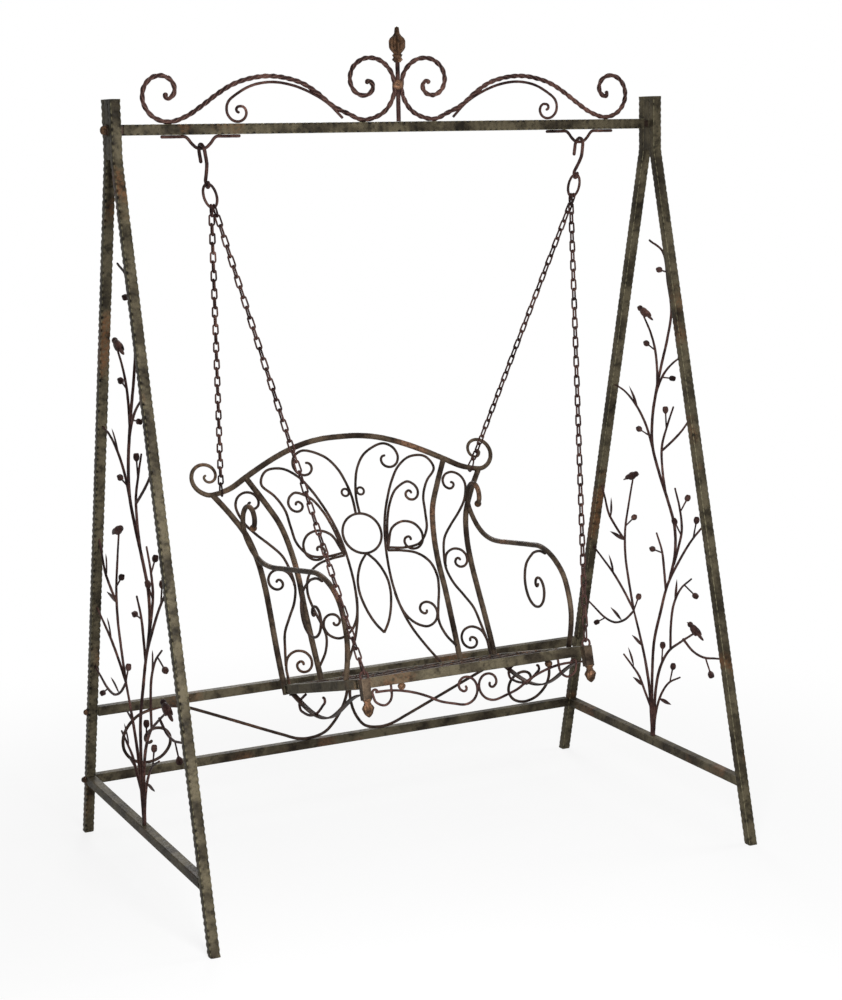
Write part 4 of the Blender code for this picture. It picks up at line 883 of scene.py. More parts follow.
def cap_nut(name, wide, matrix):
    washer = turned(name + "_washer", sized(WASHER_ROWS, wide, WASHER), BROWN_IRON, matrix, 28, per_span=1)
    nut = turned(name + "_nut", sized(NUT_ROWS, wide, wide, WASHER), COPPER, matrix, 36, per_span=2, six=True)
    return join(name, [washer, nut])


def rail_middle(top):
    height = top - TUBE / 2
    return leg_middle(height), height


outer_face = FRAME_SPACING / 2 + TUBE / 2
bolt_places = {"beam": (BEAM_NUT * 0.9, 0.0, beam_middle), "lower": (RAIL_NUT * 0.9, *rail_middle(CROSS_TOP)),
               "upper": (RAIL_NUT * 0.9, *rail_middle(UPPER_RAIL_TOP))}
for place_name, (wide, depth, height) in bolt_places.items():
    for side_name, side in SIDES.items():
        spot = Matrix.Translation((side * (outer_face + GAP), depth, height))
        outwards = Matrix.Rotation(side * math.pi / 2, 4, "Y")
        hang(cap_nut(f"cap_nut_{place_name}_{side_name}", wide, spot @ outwards), "frame", "copper_patina",
             f"bolt_{place_name}_{side_name}")
print("cap nuts", len(bolt_places) * 2)

# %% [markdown]
# ## The ornament on the beam
# Two mirrored S scrolls of twisted square bar stand on the beam, each with a thinner arch that follows it.
# They meet at a rod with a fluted finial, and a copper collar binds them there.

# %% Twisted scrolls and arches
TOP_SCROLL_SHARES = ((0.906, 0.0), (0.862, 0.022), (0.785, 0.15), (0.66, 0.375), (0.52, 0.458), (0.38, 0.37),
                     (0.262, 0.13), (0.147, 0.0))
TOP_ARCH_SHARES = ((0.235, 0.0), (0.266, 0.10), (0.325, 0.21), (0.40, 0.315), (0.50, 0.375),
                   (0.60, 0.33), (0.66, 0.23))
TURNS_PER_METRE = 11.5
ROPE_SQUARENESS = 9.0

rise = FINIAL_TOP - BEAM_TOP
base = BEAM_TOP + SCROLL_WIRE / 2 + GAP
reach = ORNAMENT_REACH
body = smooth(shares(TOP_SCROLL_SHARES, reach, rise), 13)
inner = rolled(curl(body, -500, reach * 0.135, reach * 0.012, 13, heading=180), RIGHT_HAND, 120)
outer = rolled(curl([inner[0]], 330, reach * 0.101, reach * 0.026, 9, heading=0), LEFT_HAND)
scroll_path = list(reversed(outer[1:])) + inner
shift = ROD / 2 + SCROLL_WIRE / 2 + GAP - min(point.x for point in scroll_path)
scroll_path = across_x([point + Vector((shift, base)) for point in scroll_path])
arch = curl(smooth(shares(TOP_ARCH_SHARES, reach, rise), 7), -350, reach * 0.055, reach * 0.015, 9)
arch = rolled(arch, RIGHT_HAND)
arch_base = BEAM_TOP + ARCH_WIRE / 2 + GAP - min(min(point.y for point in arch), 0.0)
arch_path = across_x([point + Vector((shift, arch_base)) for point in arch])
for side_name, side in SIDES.items():
    rope = stroke(scroll_path, SCROLL_WIRE * 0.96, tips="both", step=0.002)
    thin = stroke(arch_path, ARCH_WIRE * 0.88, tips="end")
    if side == LEFT:
        rope, thin = mirrored(rope), mirrored(thin)
    bars = [forge("rope", [rope], RED_IRON, 16, ROPE_SQUARENESS, side * TURNS_PER_METRE),
            forge("arch", [thin], RED_IRON)]
    hang(join(f"twisted_scroll_{side_name}", bars), "frame", "brown_iron", f"top_scroll_{side_name}")
print("twisted scrolls", round(path_length(scroll_path), 3), "m of bar each")

# %% Rod, collar and fluted finial
FINIAL_BUD_ROWS = ((0, 2, 0), (0.24, 1.86, 0), (0.26, 1.64, 0), (0.30, 1.30, 0), (0.50, 0.98, 0.3),
                   (0.86, 0.62, 1), (1, 0.12, 1), (0.90, -0.42, 1), (0.60, -0.82, 0.7), (0.44, -1.02, 0),
                   (0.64, -1.16, 0), (0.66, -1.30, 0), (0.46, -1.40, 0), (0.56, -1.56, 0.4), (0.62, -1.70, 0.4))
FINIAL_FOOT_ROWS = ((0.40, 0.10, 0), (0.42, 0, 0), (0, 0, 0))
COLLAR_ROWS = ((0, -1, 0), (0.9, -1, 0), (1.25, -0.5, 0), (1.3, 0, 0), (1.25, 0.5, 0), (0.9, 1, 0), (0, 1, 0))
rod_line = [Vector((0, 0, BEAM_TOP + GAP)), Vector((0, 0, FINIAL_BASE - GAP))]
hang(forge("centre_rod_round", [stroke(rod_line, ROD * 0.94)], RED_IRON, 16), "frame", "brown_iron",
     "centre_rod")
half_ball = FINIAL_BALL / 2
finial_rows = (sized(FINIAL_BUD_ROWS, half_ball, half_ball, FINIAL_TOP - FINIAL_BALL)
               + sized(FINIAL_FOOT_ROWS, half_ball, half_ball, FINIAL_BASE))
finial = turned("fluted_finial", eased(finial_rows, 46), COPPER, sides=96, flutes=12, depth=0.34, per_span=1)
hang(finial, "frame", "copper_patina", "top_finial")
collar_spot = Matrix.Translation((0, 0, BEAM_TOP + reach * 0.135)) @ Matrix.Scale(0.62, 4, (0, 1, 0))
collar = turned("centre_collar", sized(COLLAR_ROWS, ROD, ROD), COPPER, collar_spot, 32)
hang(collar, "frame", "copper_patina")
print("finial", len(finial.data.vertices), "points")

# %% [markdown]
# ## The scrolls between the rear rails
# A long double-ended S on each side fills the space between the two rear rails. It leans with the legs.

# %% Rear scrolls
REAR_SCROLL_SHARES = ((0.012, 1.02), (0.010, 0.62), (0.075, 0.13), (0.162, 0.0), (0.24, 0.05),
                      (0.70, 0.86), (0.80, 0.985), (0.87, 1.0))

low_depth, low_height = rail_middle(CROSS_TOP)
high_depth, high_height = rail_middle(UPPER_RAIL_TOP)
rear_tilt = math.atan2(low_depth - high_depth, high_height - low_height)
clear = (high_height - low_height - TUBE) / math.cos(rear_tilt)
tall = clear - REAR_WIRE - 2 * GAP
rear = smooth(shares(REAR_SCROLL_SHARES, REAR_REACH, tall), 17)
rear = rolled(curl(rear, -500, REAR_REACH * 0.152, REAR_REACH * 0.018, 14, heading=0), RIGHT_HAND, 120)
rear_shift = REAR_WIRE / 2 + GAP / 2 - min(point.x for point in rear)
rear_path = [Vector((point.x + rear_shift, min(max(point.y, 0.0), tall) - tall / 2)) for point in rear]
rear_middle = Matrix.Translation((0, (low_depth + high_depth) / 2, (low_height + high_height) / 2))
forge_pair("rear_rail_scroll", [stroke(across_x(rear_path), REAR_WIRE * 0.96, tips="end")], BROWN_IRON,
           "frame", "brown_iron", "rear_scroll", rear_middle @ Matrix.Rotation(rear_tilt, 4, "X"), 14)
print("rear scrolls", round(path_length(rear_path), 3), "m each")

# %% [markdown]
# ## Climbing stems
# A thicket of thin bars grows from the stretcher up each side frame. The bars are strokes; the buds and
# leaves are one small shape each, set on the stems by a tree that turns every copy to its own twig.

# %% Drawn stems, as shares of half the foot depth and of the bend's height
TRUNK_SHARES = (
    ((-0.02, 0.09), (0.016, 0.176), (0.089, 0.234), (0.174, 0.284)),
    ((-0.014, 0.09), (-0.022, 0.215), (-0.055, 0.26), (-0.158, 0.333), (-0.219, 0.362),
     (-0.40, 0.421), (-0.553, 0.458)),
    ((-0.028, 0.09), (-0.060, 0.18), (-0.116, 0.215), (-0.20, 0.243), (-0.424, 0.281)),
    ((-0.197, 0.354), (-0.259, 0.408), (-0.241, 0.44), (-0.156, 0.485), (-0.028, 0.548),
     (-0.03, 0.607), (-0.128, 0.691), (-0.209, 0.75), (-0.188, 0.787), (-0.142, 0.842),
     (-0.079, 0.861), (0.004, 0.865)),
)
BRANCH_SHARES = (
    ((0.174, 0.284), (0.276, 0.309), (0.395, 0.333), (0.628, 0.368)),
    ((0.174, 0.284), (0.251, 0.352), (0.267, 0.391), (0.253, 0.424), (0.182, 0.492)),
    ((0.267, 0.392), (0.421, 0.421), (0.466, 0.443), (0.54, 0.482)),
    ((0.174, 0.283), (0.227, 0.271), (0.302, 0.26), (0.45, 0.252), (0.72, 0.276)),
    ((0.002, 0.141), (0.075, 0.166), (0.128, 0.183), (0.282, 0.206)),
    ((-0.158, 0.333), (-0.122, 0.391), (-0.065, 0.419)),
    ((-0.237, 0.378), (-0.312, 0.43), (-0.30, 0.463), (-0.249, 0.496)),
    ((-0.028, 0.548), (0.055, 0.587), (0.211, 0.623), (0.40, 0.638)),
    ((-0.156, 0.485), (-0.122, 0.523), (-0.124, 0.561), (-0.231, 0.619)),
    ((-0.125, 0.55), (-0.292, 0.581), (-0.407, 0.611)),
    ((-0.072, 0.645), (-0.063, 0.689), (-0.012, 0.723), (0.063, 0.749)),
    ((-0.03, 0.612), (-0.079, 0.645), (-0.178, 0.677), (-0.335, 0.70)),
    ((-0.33, 0.268), (-0.401, 0.258), (-0.50, 0.251), (-0.735, 0.262)),
    ((-0.034, 0.09), (-0.060, 0.136), (-0.148, 0.181), (-0.30, 0.206)),
    ((-0.205, 0.243), (-0.211, 0.285), (-0.263, 0.332), (-0.409, 0.365)),
)
LEAF_SHARES = (
    ((0.389, 0.331), (0.444, 0.361)), ((0.421, 0.421), (0.415, 0.455)), ((0.275, 0.392), (0.432, 0.399)),
    ((0.302, 0.26), (0.43, 0.275)), ((0.174, 0.193), (0.237, 0.221)), ((0.08, 0.168), (0.188, 0.175)),
    ((0.085, 0.232), (0.199, 0.243)), ((0.124, 0.605), (0.219, 0.639)),
    ((-0.088, 0.158), (-0.215, 0.157)), ((-0.245, 0.322), (-0.268, 0.358)),
)
BUD_SHARES = (
    ((0.256, 0.416), (0.174, 0.432)), ((0.174, 0.284), (0.126, 0.307)), ((0.494, 0.253), (0.575, 0.242)),
    ((-0.426, 0.428), (-0.456, 0.455)), ((-0.122, 0.391), (-0.03, 0.392)),
    ((-0.31, 0.427), (-0.249, 0.444)), ((-0.302, 0.463), (-0.367, 0.485)),
    ((-0.547, 0.252), (-0.596, 0.231)), ((-0.116, 0.215), (-0.126, 0.244)),
    ((-0.199, 0.192), (-0.229, 0.217)), ((-0.345, 0.352), (-0.442, 0.342)),
    ((0.014, 0.568), (0.107, 0.574)), ((-0.055, 0.70), (0.03, 0.708)),
    ((-0.128, 0.661), (-0.215, 0.662)), ((-0.162, 0.82), (-0.099, 0.822)),
    ((-0.162, 0.586), (-0.154, 0.611)),
)
BIRD_SHARES = (((0.19, 0.498), (0.115, 0.50)), ((-0.44, 0.289), (-0.365, 0.293)),
               ((0.06, 0.756), (0.11, 0.758)))
print(len(TRUNK_SHARES) + len(BRANCH_SHARES), "bars,", len(LEAF_SHARES), "leaves,", len(BUD_SHARES), "buds")


# %% Stems cut off where they meet the legs and the stretcher
PANEL_REACH = FOOT_DEPTH / 2


def on_panel(pair, x=0.0):
    """A drawn foot and tip, or front, as places on a panel."""
    return along_y(shares(pair, PANEL_REACH, BEND_HEIGHT), x)


def within_frame(points):
    """Keeps the stretch of a stem between the legs and above the stretcher."""
    return [point for point in points if point[1] > CROSS_TOP - GAP
            and abs(point[0]) < leg_middle(point[1]) - TUBE / 2 + GAP * 3]


def stem_strokes():
    strokes = []
    for table, thickness, count in ((TRUNK_SHARES, STEM, 2), (BRANCH_SHARES, BRANCH, 1)):
        for stem in table:
            coarse = smooth(shares(stem, PANEL_REACH, BEND_HEIGHT), len(stem) + count)
            fine = smooth(coarse, max(int(path_length(coarse) / STEP), 4))
            kept = within_frame(fine)
            tips = "end" if len(kept) == len(fine) else ""
            strokes.append(stroke(along_y(kept), thickness * 0.92, tips=tips, step=0.005, drawn_out=0.72))
    for pair in BUD_SHARES:
        start, end = on_panel(pair)
        strokes.append(stroke([start, start.lerp(end, 0.5), end], TWIG * 0.9, step=0.005))
    return strokes


# %% [markdown]
# ### One leaf, one bud, many copies
# A leaf is a pointed blade with a raised rib; a bud is a closed drop with petals folded round it. Each
# is modelled once, one unit long. The scatter tree reads where a copy stands, where it aims and how long it
# is, and turns the unit shape to fit.

# %% The scatter tree
def scatter_tree():
    tree, feed, known = new_tree("scatter along twigs", {
        "Shape": "Object", "Width": "Float", "Finish": "Material"})
    shape = place(tree, "GeometryNodeObjectInfo", {"Object": feed["Shape"]}).outputs["Geometry"]
    turn = out(tree, "FunctionNodeAlignRotationToVector", {"Vector": named(tree, "aim", "FLOAT_VECTOR")},
               axis="Z", pivot_axis="AUTO")
    size = out(tree, "ShaderNodeCombineXYZ", {"X": feed["Width"], "Y": feed["Width"], "Z": named(tree, "long")})
    copies = out(tree, "GeometryNodeInstanceOnPoints", {"Points": feed["Geometry"], "Instance": shape,
                                                        "Rotation": turn, "Scale": size})
    end_tree(tree, copies, feed["Finish"])
    return tree, known


SCATTER = scatter_tree()


def scatter(name, spots, shape, width, finish):
    """spots holds a foot and a tip for each copy."""
    aims = [value for foot, tip in spots for value in (tip - foot).normalized()]
    lengths = [(tip - foot).length for foot, tip in spots]
    item = drawn(name, [foot for foot, tip in spots], aim=aims, long=lengths)
    return run_tree(item, *SCATTER, shape=shape, width=width, finish=finish)


# %% Unit shapes of a leaf and a bud
LEAF_ROWS = 10
LEAF_SECTION = ((-1, 0.0), (-0.5, 0.10), (0, 0.17), (0.5, 0.10), (1, 0.0), (0.5, -0.10), (0, -0.12),
                (-0.5, -0.10))
BUD_ROWS = ((0, 0, 0), (0.14, 0, 0), (0.24, 0.10, 0.2), (0.42, 0.28, 0.8), (0.50, 0.52, 1), (0.47, 0.78, 1),
            (0.40, 0.95, 1), (0.30, 0.97, 1), (0.22, 0.86, 0.4), (0, 0.84, 0))


def unit_leaf():
    """A blade in the y-z plane, thicker along its rib and pointed at both ends."""
    work = bmesh.new()
    loops = []
    for row in range(LEAF_ROWS + 1):
        t = row / LEAF_ROWS
        half = 0.5 * math.sin(math.pi * t) ** 0.85 * (1.15 - 0.45 * t)
        bow = 0.10 * math.sin(math.pi * t)
        loops.append([work.verts.new((thick * min(1, 4 * half) + bow, across * half, t))
                      for across, thick in LEAF_SECTION])
    loft(work, loops)
    melted(work, 1e-5)
    return skinned("unit_leaf", work)


UNIT_BUD = turned("unit_bud", eased(BUD_ROWS, 16), RED_IRON, sides=24, flutes=4, depth=0.26, twist=1.6,
                  per_span=1)
UNIT_LEAF = unit_leaf()
LEAF_ACROSS = 0.0135
BUD_ACROSS = 0.017
BUD_LENGTH = 0.021


def bud_spots(x):
    for pair in BUD_SHARES:
        start, end = on_panel(pair, x)
        aim = (end - start).normalized()
        yield end - aim * BUD_LENGTH * 0.4, end + aim * BUD_LENGTH * 0.6


# %% [markdown]
# ### Birds
# Three small birds perch on the stems. A body, a head, a beak and a tail are laid into each other, then a
# voxel remesh melts them into one skin, as in a small casting.

# %% A cast bird
BIRD_LEAN = 0.30


def oval(work, size, centre, turn=Matrix()):
    matrix = Matrix.Translation(centre) @ turn @ Matrix.Diagonal((*size, 1))
    bmesh.ops.create_uvsphere(work, u_segments=20, v_segments=14, radius=0.5, matrix=matrix)


def turned_to(aim):
    return Vector((0, 0, 1)).rotation_difference(aim).to_matrix().to_4x4()


def bird(body_at, ahead):
    level = (ahead - body_at).normalized()
    toward = (level + Vector((0, 0, BIRD_LEAN))).normalized()
    turn = turned_to(toward)
    long, broad, head = BIRD_LONG * 0.78, BIRD_WIDE * 0.72, BIRD_HEAD * 0.72
    head_at = body_at + toward * long * 0.34
    work = bmesh.new()
    oval(work, (broad * 0.8, broad, long * 0.60), body_at, turn)
    oval(work, (head * 0.84, head * 0.9, head * 0.9), head_at)
    oval(work, (head * 0.22, head * 0.26, head * 0.9), head_at + level * head * 0.5, turned_to(level))
    oval(work, (broad * 0.5, broad * 0.24, long * 0.66), body_at - toward * long * 0.42, turn)
    for side in SIDES.values():
        wing = body_at - toward * long * 0.12 + Vector((side * broad * 0.36, 0, 0))
        oval(work, (broad * 0.18, broad * 0.66, long * 0.56), wing, turn)
    item = skinned("bird", work)
    melt = item.modifiers.new("melt", "REMESH")
    melt.mode = "VOXEL"
    melt.voxel_size = 0.0012
    melt.use_smooth_shade = True
    item.modifiers.new("relax", "SMOOTH").iterations = 3
    settled(item).data.materials.clear()
    item.data.materials.append(RED_IRON)
    return item


# %% Both panels of stems
def panel(name, x):
    shift = Matrix.Translation((x, 0, 0))
    bars = forge("stems", [placed(item, shift) for item in stem_strokes()], RED_IRON, 10, hammering=0.0010)
    leaves = scatter("leaves", [on_panel(pair, x) for pair in LEAF_SHARES], UNIT_LEAF, LEAF_ACROSS, RED_IRON)
    buds = scatter("buds", list(bud_spots(x)), UNIT_BUD, BUD_ACROSS, RED_IRON)
    return join(name, [bars, leaves, buds, *(bird(*on_panel(pair, x)) for pair in BIRD_SHARES)])


for side_name, side in SIDES.items():
    thicket = panel(f"climbing_thicket_{side_name}", side * FRAME_SPACING / 2)
    hang(thicket, "frame", "dark_iron", f"climbing_stems_{side_name}")
print("thicket", len(thicket.data.polygons), "faces each")

# %% [markdown]
# ## Hangers, hooks and rings
# A bent rod is welded under the beam on each side. Its valley carries an S hook, the hook's eye carries a
# long ring, and the ring carries two chains. Each can pivot on the one above.

# %% Hanger rods
strap_axis = BEAM_TOP - BEAM_TALL - GAP - STRAP_ROD / 2 - STRAP_DROP
wing = [(STRAP_LENGTH / 2, STRAP_DROP), (STRAP_LENGTH * 0.3, STRAP_DROP), (VALLEY_WIDE / 2, STRAP_DROP),
        (VALLEY_WIDE * 0.40, STRAP_DROP * 0.82), (VALLEY_WIDE * 0.27, STRAP_DROP * 0.34),
        (VALLEY_FLAT / 2, 0.0)]
strap = stroke(across_x(wing + [(-x, z) for x, z in reversed(wing)]), STRAP_ROD, tips="both", step=0.002)
for side_name, side in SIDES.items():
    spot = Matrix.Translation((side * STRAP_SPACING / 2, 0, strap_axis))
    hang(forge(f"hanger_rod_{side_name}", [placed(strap, spot)], RED_IRON, 14), "frame", "brown_iron",
         f"hanger_{side_name}")
print("hanger axis at", round(strap_axis, 4), "m")


# %% Hooks and rings
def leaned(points, side, lean, drop):
    """Lets a hanging piece lean towards the middle by the given amount over its drop."""
    return [Vector((point.x + side * lean * point.z / drop, point.y, point.z)) for point in points]


def hook_path():
    bend_middle = STRAP_ROD / 2 + GAP + HOOK_WIRE / 2 - HOOK_BEND
    eye = RING_WIRE / 2 + GAP + HOOK_WIRE / 2
    upper = circle((0, bend_middle), HOOK_BEND, 0, 180, 14)
    neck = [Vector((-HOOK_BEND, bend_middle - HOOK_BEND * 1.2)), Vector((-HOOK_BEND * 0.65, -HOOK_DROP * 0.58)),
            Vector((0, -HOOK_DROP * 0.78)), Vector((eye, eye - HOOK_DROP))]
    lower = circle((0, -HOOK_DROP), eye, 0, -200, 10)
    return [Vector((HOOK_BEND, -HOOK_SHORT_LEG))] + upper + neck + lower[1:]


stretch = RING_DROP / 2 / RING_BEND
oval_path = [Vector((point.x, point.y * stretch - RING_DROP / 2))
             for point in circle((0, 0), RING_BEND, steps=40)]
for side_name, side in SIDES.items():
    axis = Vector((side * STRAP_SPACING / 2, 0, strap_axis))
    hook = stroke(leaned(along_y(hook_path()), side, HOOK_LEAN, HOOK_DROP), HOOK_WIRE, tips="both", step=0.0016)
    hook = placed(hook, Matrix.Translation(axis))
    hang(forge(f"hook_wire_{side_name}", [hook], RED_IRON, 14), f"{side_name}_hook", "dark_iron",
         f"hook_{side_name}")
    ring_at = axis + Vector((-side * HOOK_LEAN, 0, -HOOK_DROP))
    shape = leaned(across_x(oval_path), side, RING_LEAN, RING_DROP)
    ring = stroke(set_in(shape, Matrix.Translation(ring_at)), RING_WIRE, closed=True)
    hang(forge(f"ring_wire_{side_name}", [ring], RED_IRON, 12), f"{side_name}_ring", "dark_iron",
         f"ring_{side_name}")

# %% [markdown]
# ## The chair's planes
# The seat is a tilted plane and the back leans from it. Two matrices hold these planes, so every bar of the
# chair can be drawn flat and then set into its place.

# %% Seat and back planes
tilt, lean = math.radians(SEAT_TILT), math.radians(BACK_LEAN)
SEAT = Matrix.Translation((0, -SEAT_FRONT, SEAT_HEIGHT)) @ Matrix.Rotation(-tilt, 4, "X")
back_foot = Matrix.Translation((0, SEAT_DEPTH + GAP + BACK_TUBE / 2 / math.cos(lean), 0))
BACK = SEAT @ back_foot @ Matrix.Rotation(-lean, 4, "X")
side_rail = SEAT_WIDTH / 2 - SEAT_RAIL / 2
print("top of the back", [round(v, 3) for v in BACK @ Vector((0, 0, BACK_HEIGHT))])

# %% [markdown]
# ## Seat rails
# The front and rear rails are open square tubes: two rings of rounded corners, drawn out along the rail,
# with the wall showing at each end. Two small copper drops hang under the front rail.

# %% Open tubes and their drops
TUBE_ROUND = 0.0022
DROP_ROWS = ((0, 0.9, 0), (0.5, 0.9, 0), (0.42, 0.74, 0), (0.86, 0.42, 0), (1, -0.04, 0), (0.80, -0.60, 0),
             (0.36, -0.92, 0), (0, -1, 0), (0, -1, 0))


def open_tube(name, depth, finish):
    """A square tube across the seat whose ends show its wall."""
    work = bmesh.new()
    half = SEAT_RAIL / 2
    section = []
    for size, round_by in ((half, TUBE_ROUND), (half - SEAT_WALL, TUBE_ROUND * 0.3)):
        section.append([(sx * (size - round_by) + round_by * math.cos(angle),
                         sy * (size - round_by) + round_by * math.sin(angle))
                        for quarter, (sx, sy) in enumerate(QUARTERS)
                        for angle in (math.radians(90 * quarter + 30 * step) for step in range(4))])
    near, far = ([[work.verts.new((x, depth + y, half + z)) for y, z in loop] for loop in section]
                 for x in (-SEAT_WIDTH / 2, SEAT_WIDTH / 2))
    for loops in (*zip(near, far), near, far):
        loft(work, loops)
    bmesh.ops.recalc_face_normals(work, faces=work.faces)
    bmesh.ops.transform(work, matrix=SEAT, verts=work.verts)
    return skinned(name, work, finish, crease=35)


drops = []
for side in SIDES.values():
    spot = SEAT @ Matrix.Translation((side * DROP_PLACE, SEAT_RAIL * APRON_DEPTH_SHARE, -DROP_BALL * 0.36))
    drop_rows = sized(DROP_ROWS, DROP_BALL * 0.58, DROP_BALL * 0.58)
    drops.append(turned("drop", eased(drop_rows, 18), COPPER, spot, 24, per_span=1))
front_rail = join("seat_tube_front", [open_tube("front", SEAT_RAIL / 2, SMOOTH_IRON), *drops])
hang(front_rail, "chair", "brown_iron", "seat_rail_front")
rear_rail = open_tube("seat_tube_rear", SEAT_DEPTH - SEAT_RAIL / 2, SMOOTH_IRON)
hang(rear_rail, "chair", "brown_iron", "seat_rail_rear")

# %% [markdown]
# ## The seat's lattice
# Flat bars cross on the diagonal in two layers, with a small rivet at each crossing. The bars stay as the CAD
# has them; the rivets are one domed shape that the scatter tree sets at every crossing.

# %% Rivets at the crossings
RIVET = 0.0075
RIVET_ROWS = ((0, 0, 0), (0.5, 0, 0), (0.46, 0.35, 0), (0.3, 0.75, 0), (0, 1, 0))
UNIT_RIVET = turned("unit_rivet", RIVET_ROWS, COPPER, sides=10, per_span=1)
wide, deep = (size - 2 * SEAT_RAIL - 2 * GAP for size in (SEAT_WIDTH, SEAT_DEPTH))
lattice_middle = Vector((0, SEAT_DEPTH / 2, SEAT_RAIL - LATTICE_THICK * 1.5))
span = (wide + deep) / math.sqrt(2)
count = round(span / LATTICE_PITCH)
offsets = [(index - (count - 1) / 2) * LATTICE_PITCH for index in range(count)]
rivets = []
for first in offsets:
    for second in offsets:
        x, y = (first + second) / math.sqrt(2), (first - second) / math.sqrt(2)
        if abs(x) < wide / 2 - RIVET and abs(y) < deep / 2 - RIVET:
            foot = lattice_middle + Vector((x, y, LATTICE_THICK * 1.35))
            rivets.append((SEAT @ foot, SEAT @ (foot + Vector((0, 0, RIVET * 0.35)))))
hang(scatter("lattice_rivets", rivets, UNIT_RIVET, RIVET, COPPER), "chair", "copper_patina")
print(len(rivets), "rivets")

# %% [markdown]
# ## Bows under the seat
# A flat bar bows under each side of the seat, with a small scroll on it. The bar is a ribbon: the line's
# two sides, given a width and a soft edge.

# %% Bows with their scrolls
BELLY_END_SHARE = 0.93
BELLY_LOW_SHARE = 0.56
BELLY_FRONT_DROP = 0.013
BELLY_STEPS = 40
SIDE_SCROLL_SHARES = ((0.76, -0.06), (0.85, -0.30), (0.865, -0.62), (0.755, -0.86), (0.64, -0.80),
                      (0.52, -0.44))
RIBBON_SECTION = ((-1, -0.5), (-0.86, -1), (0.86, -1), (1, -0.5), (1, 0.5), (0.86, 1), (-0.86, 1), (-1, 0.5))


def belly_line():
    """From the back of the corner block, down in a bow, and up to a short foot under the side rail."""
    points = []
    for index in range(BELLY_STEPS + 1):
        share = index / BELLY_STEPS
        if share < BELLY_LOW_SHARE:
            bow = (1 - math.cos(math.pi * share / BELLY_LOW_SHARE)) / 2
        else:
            bow = math.sin(math.pi / 2 * (1 - share) / (1 - BELLY_LOW_SHARE))
        drop = BELLY_DROP * 0.96 * bow + BELLY_FRONT_DROP * (1 - share) ** 4
        points.append(Vector((SEAT_DEPTH * BELLY_END_SHARE * share, -GAP - BELLY_THICK / 2 - drop)))
    return points + [points[-1] + Vector((SEAT_RAIL / 2, 0))]


def ribbon(name, points, wide, thick, x, finish):
    """A flat bar with soft edges that follows a line in the plane of a side."""
    work = bmesh.new()
    loops = []
    for index, point in enumerate(points):
        along = (points[min(index + 1, len(points) - 1)] - points[max(index - 1, 0)]).normalized()
        across = Vector((-along.y, along.x)) * thick / 2
        loops.append([work.verts.new((x + sx * wide / 2, *(point + across * sz))) for sx, sz in RIBBON_SECTION])
    loft(work, loops)
    work.faces.new(loops[0])
    work.faces.new(list(reversed(loops[-1])))
    bmesh.ops.recalc_face_normals(work, faces=work.faces)
    bmesh.ops.transform(work, matrix=SEAT, verts=work.verts)
    return skinned(name, work, finish, crease=40)


for side_name, side in SIDES.items():
    x = side * side_rail
    strap = ribbon("strap", belly_line(), BELLY_BAR * 1.2, BELLY_THICK * 1.15, x, BROWN_IRON)
    hooked = rolled(smooth(shares(SIDE_SCROLL_SHARES, SEAT_DEPTH, BELLY_DROP), 14), RIGHT_HAND)
    small = stroke(along_y(hooked, x), APRON_WIRE, tips="end", step=0.002)
    scroll = forge("scroll", [placed(small, SEAT)], RED_IRON, 12)
    hang(join(f"seat_bow_{side_name}", [strap, scroll]), "chair", "brown_iron", f"under_strap_{side_name}")

# %% [markdown]
# ## Apron scrolls
# Below the front rail a wave of thin bar runs from each corner to the middle and ends in a curl.

# %% Apron waves
APRON_SHARES = ((0.865, -0.16), (0.70, -0.2), (0.50, -0.44), (0.33, -0.80), (0.14, -1.0))
APRON_HOOK_SHARES = ((0.725, 0.05), (0.735, -0.42), (0.795, -0.62), (0.865, -0.48), (0.885, -0.2))
half_seat = SEAT_WIDTH / 2
apron_depth = SEAT_RAIL * APRON_DEPTH_SHARE
apron = smooth(shares(APRON_SHARES, half_seat, APRON_DROP), 8)
apron = rolled(curl(apron, -335, APRON_DROP * 0.56, APRON_DROP * 0.14, 9, heading=180), RIGHT_HAND)
apron_shift = APRON_WIRE / 2 + GAP / 2 - min(point.x for point in apron)
wave = across_x([point + Vector((apron_shift, 0)) for point in apron], apron_depth)
hook_line = rolled(smooth(shares(APRON_HOOK_SHARES, half_seat, APRON_DROP), 12), LEFT_HAND)
forge_pair("apron_wave", [stroke(wave, APRON_WIRE * 0.94, tips="both"),
                          stroke(across_x(hook_line, apron_depth), APRON_WIRE * 0.9, tips="end", step=0.002)],
           RED_IRON, "chair", "brown_iron", "apron_scroll", SEAT)

# %% [markdown]
# ## Corner blocks
# A square block stands at each front corner, on a turned neck. An eye on top holds the chain's end link, and
# below hangs a bud-shaped point with flutes that wind like a flame.

# %% Corner blocks, eyes and bud points
NECK_ROWS = ((0, 1, 0), (0.66, 1, 0), (0.72, -0.4, 0), (0.58, -1.2, 0), (0.50, -2.6, 0), (0.62, -3.2, 0),
             (0.60, -3.8, 0), (0, -3.8, 0))
POINT_ROWS = ((0, -0.20, 0), (0.48, -0.20, 0), (0.74, -0.30, 0.6), (0.98, -0.46, 1), (0.96, -0.60, 1),
              (0.74, -0.76, 1), (0.38, -0.91, 0.9), (0.08, -0.99, 0), (0, -1, 0))
BLOCK_STANDS_OUT = 0.002
corner_spot = Vector((SEAT_WIDTH / 2 - CORNER_BLOCK / 2 + BLOCK_STANDS_OUT, -GAP - CORNER_BLOCK / 2,
                      SEAT_RAIL - CORNER_TALL / 2))
block_wide, block_tall = CORNER_BLOCK * 0.80, CORNER_TALL * 0.83
low = CORNER_TALL / 2 - block_tall
bulb = CORNER_BULB * 0.54
block_at = (0, (CORNER_BLOCK - block_wide) / 2, low + block_tall / 2)
eye_at = (0, EYE_BEND * EYE_RISE_SHARE + CORNER_TALL / 2)
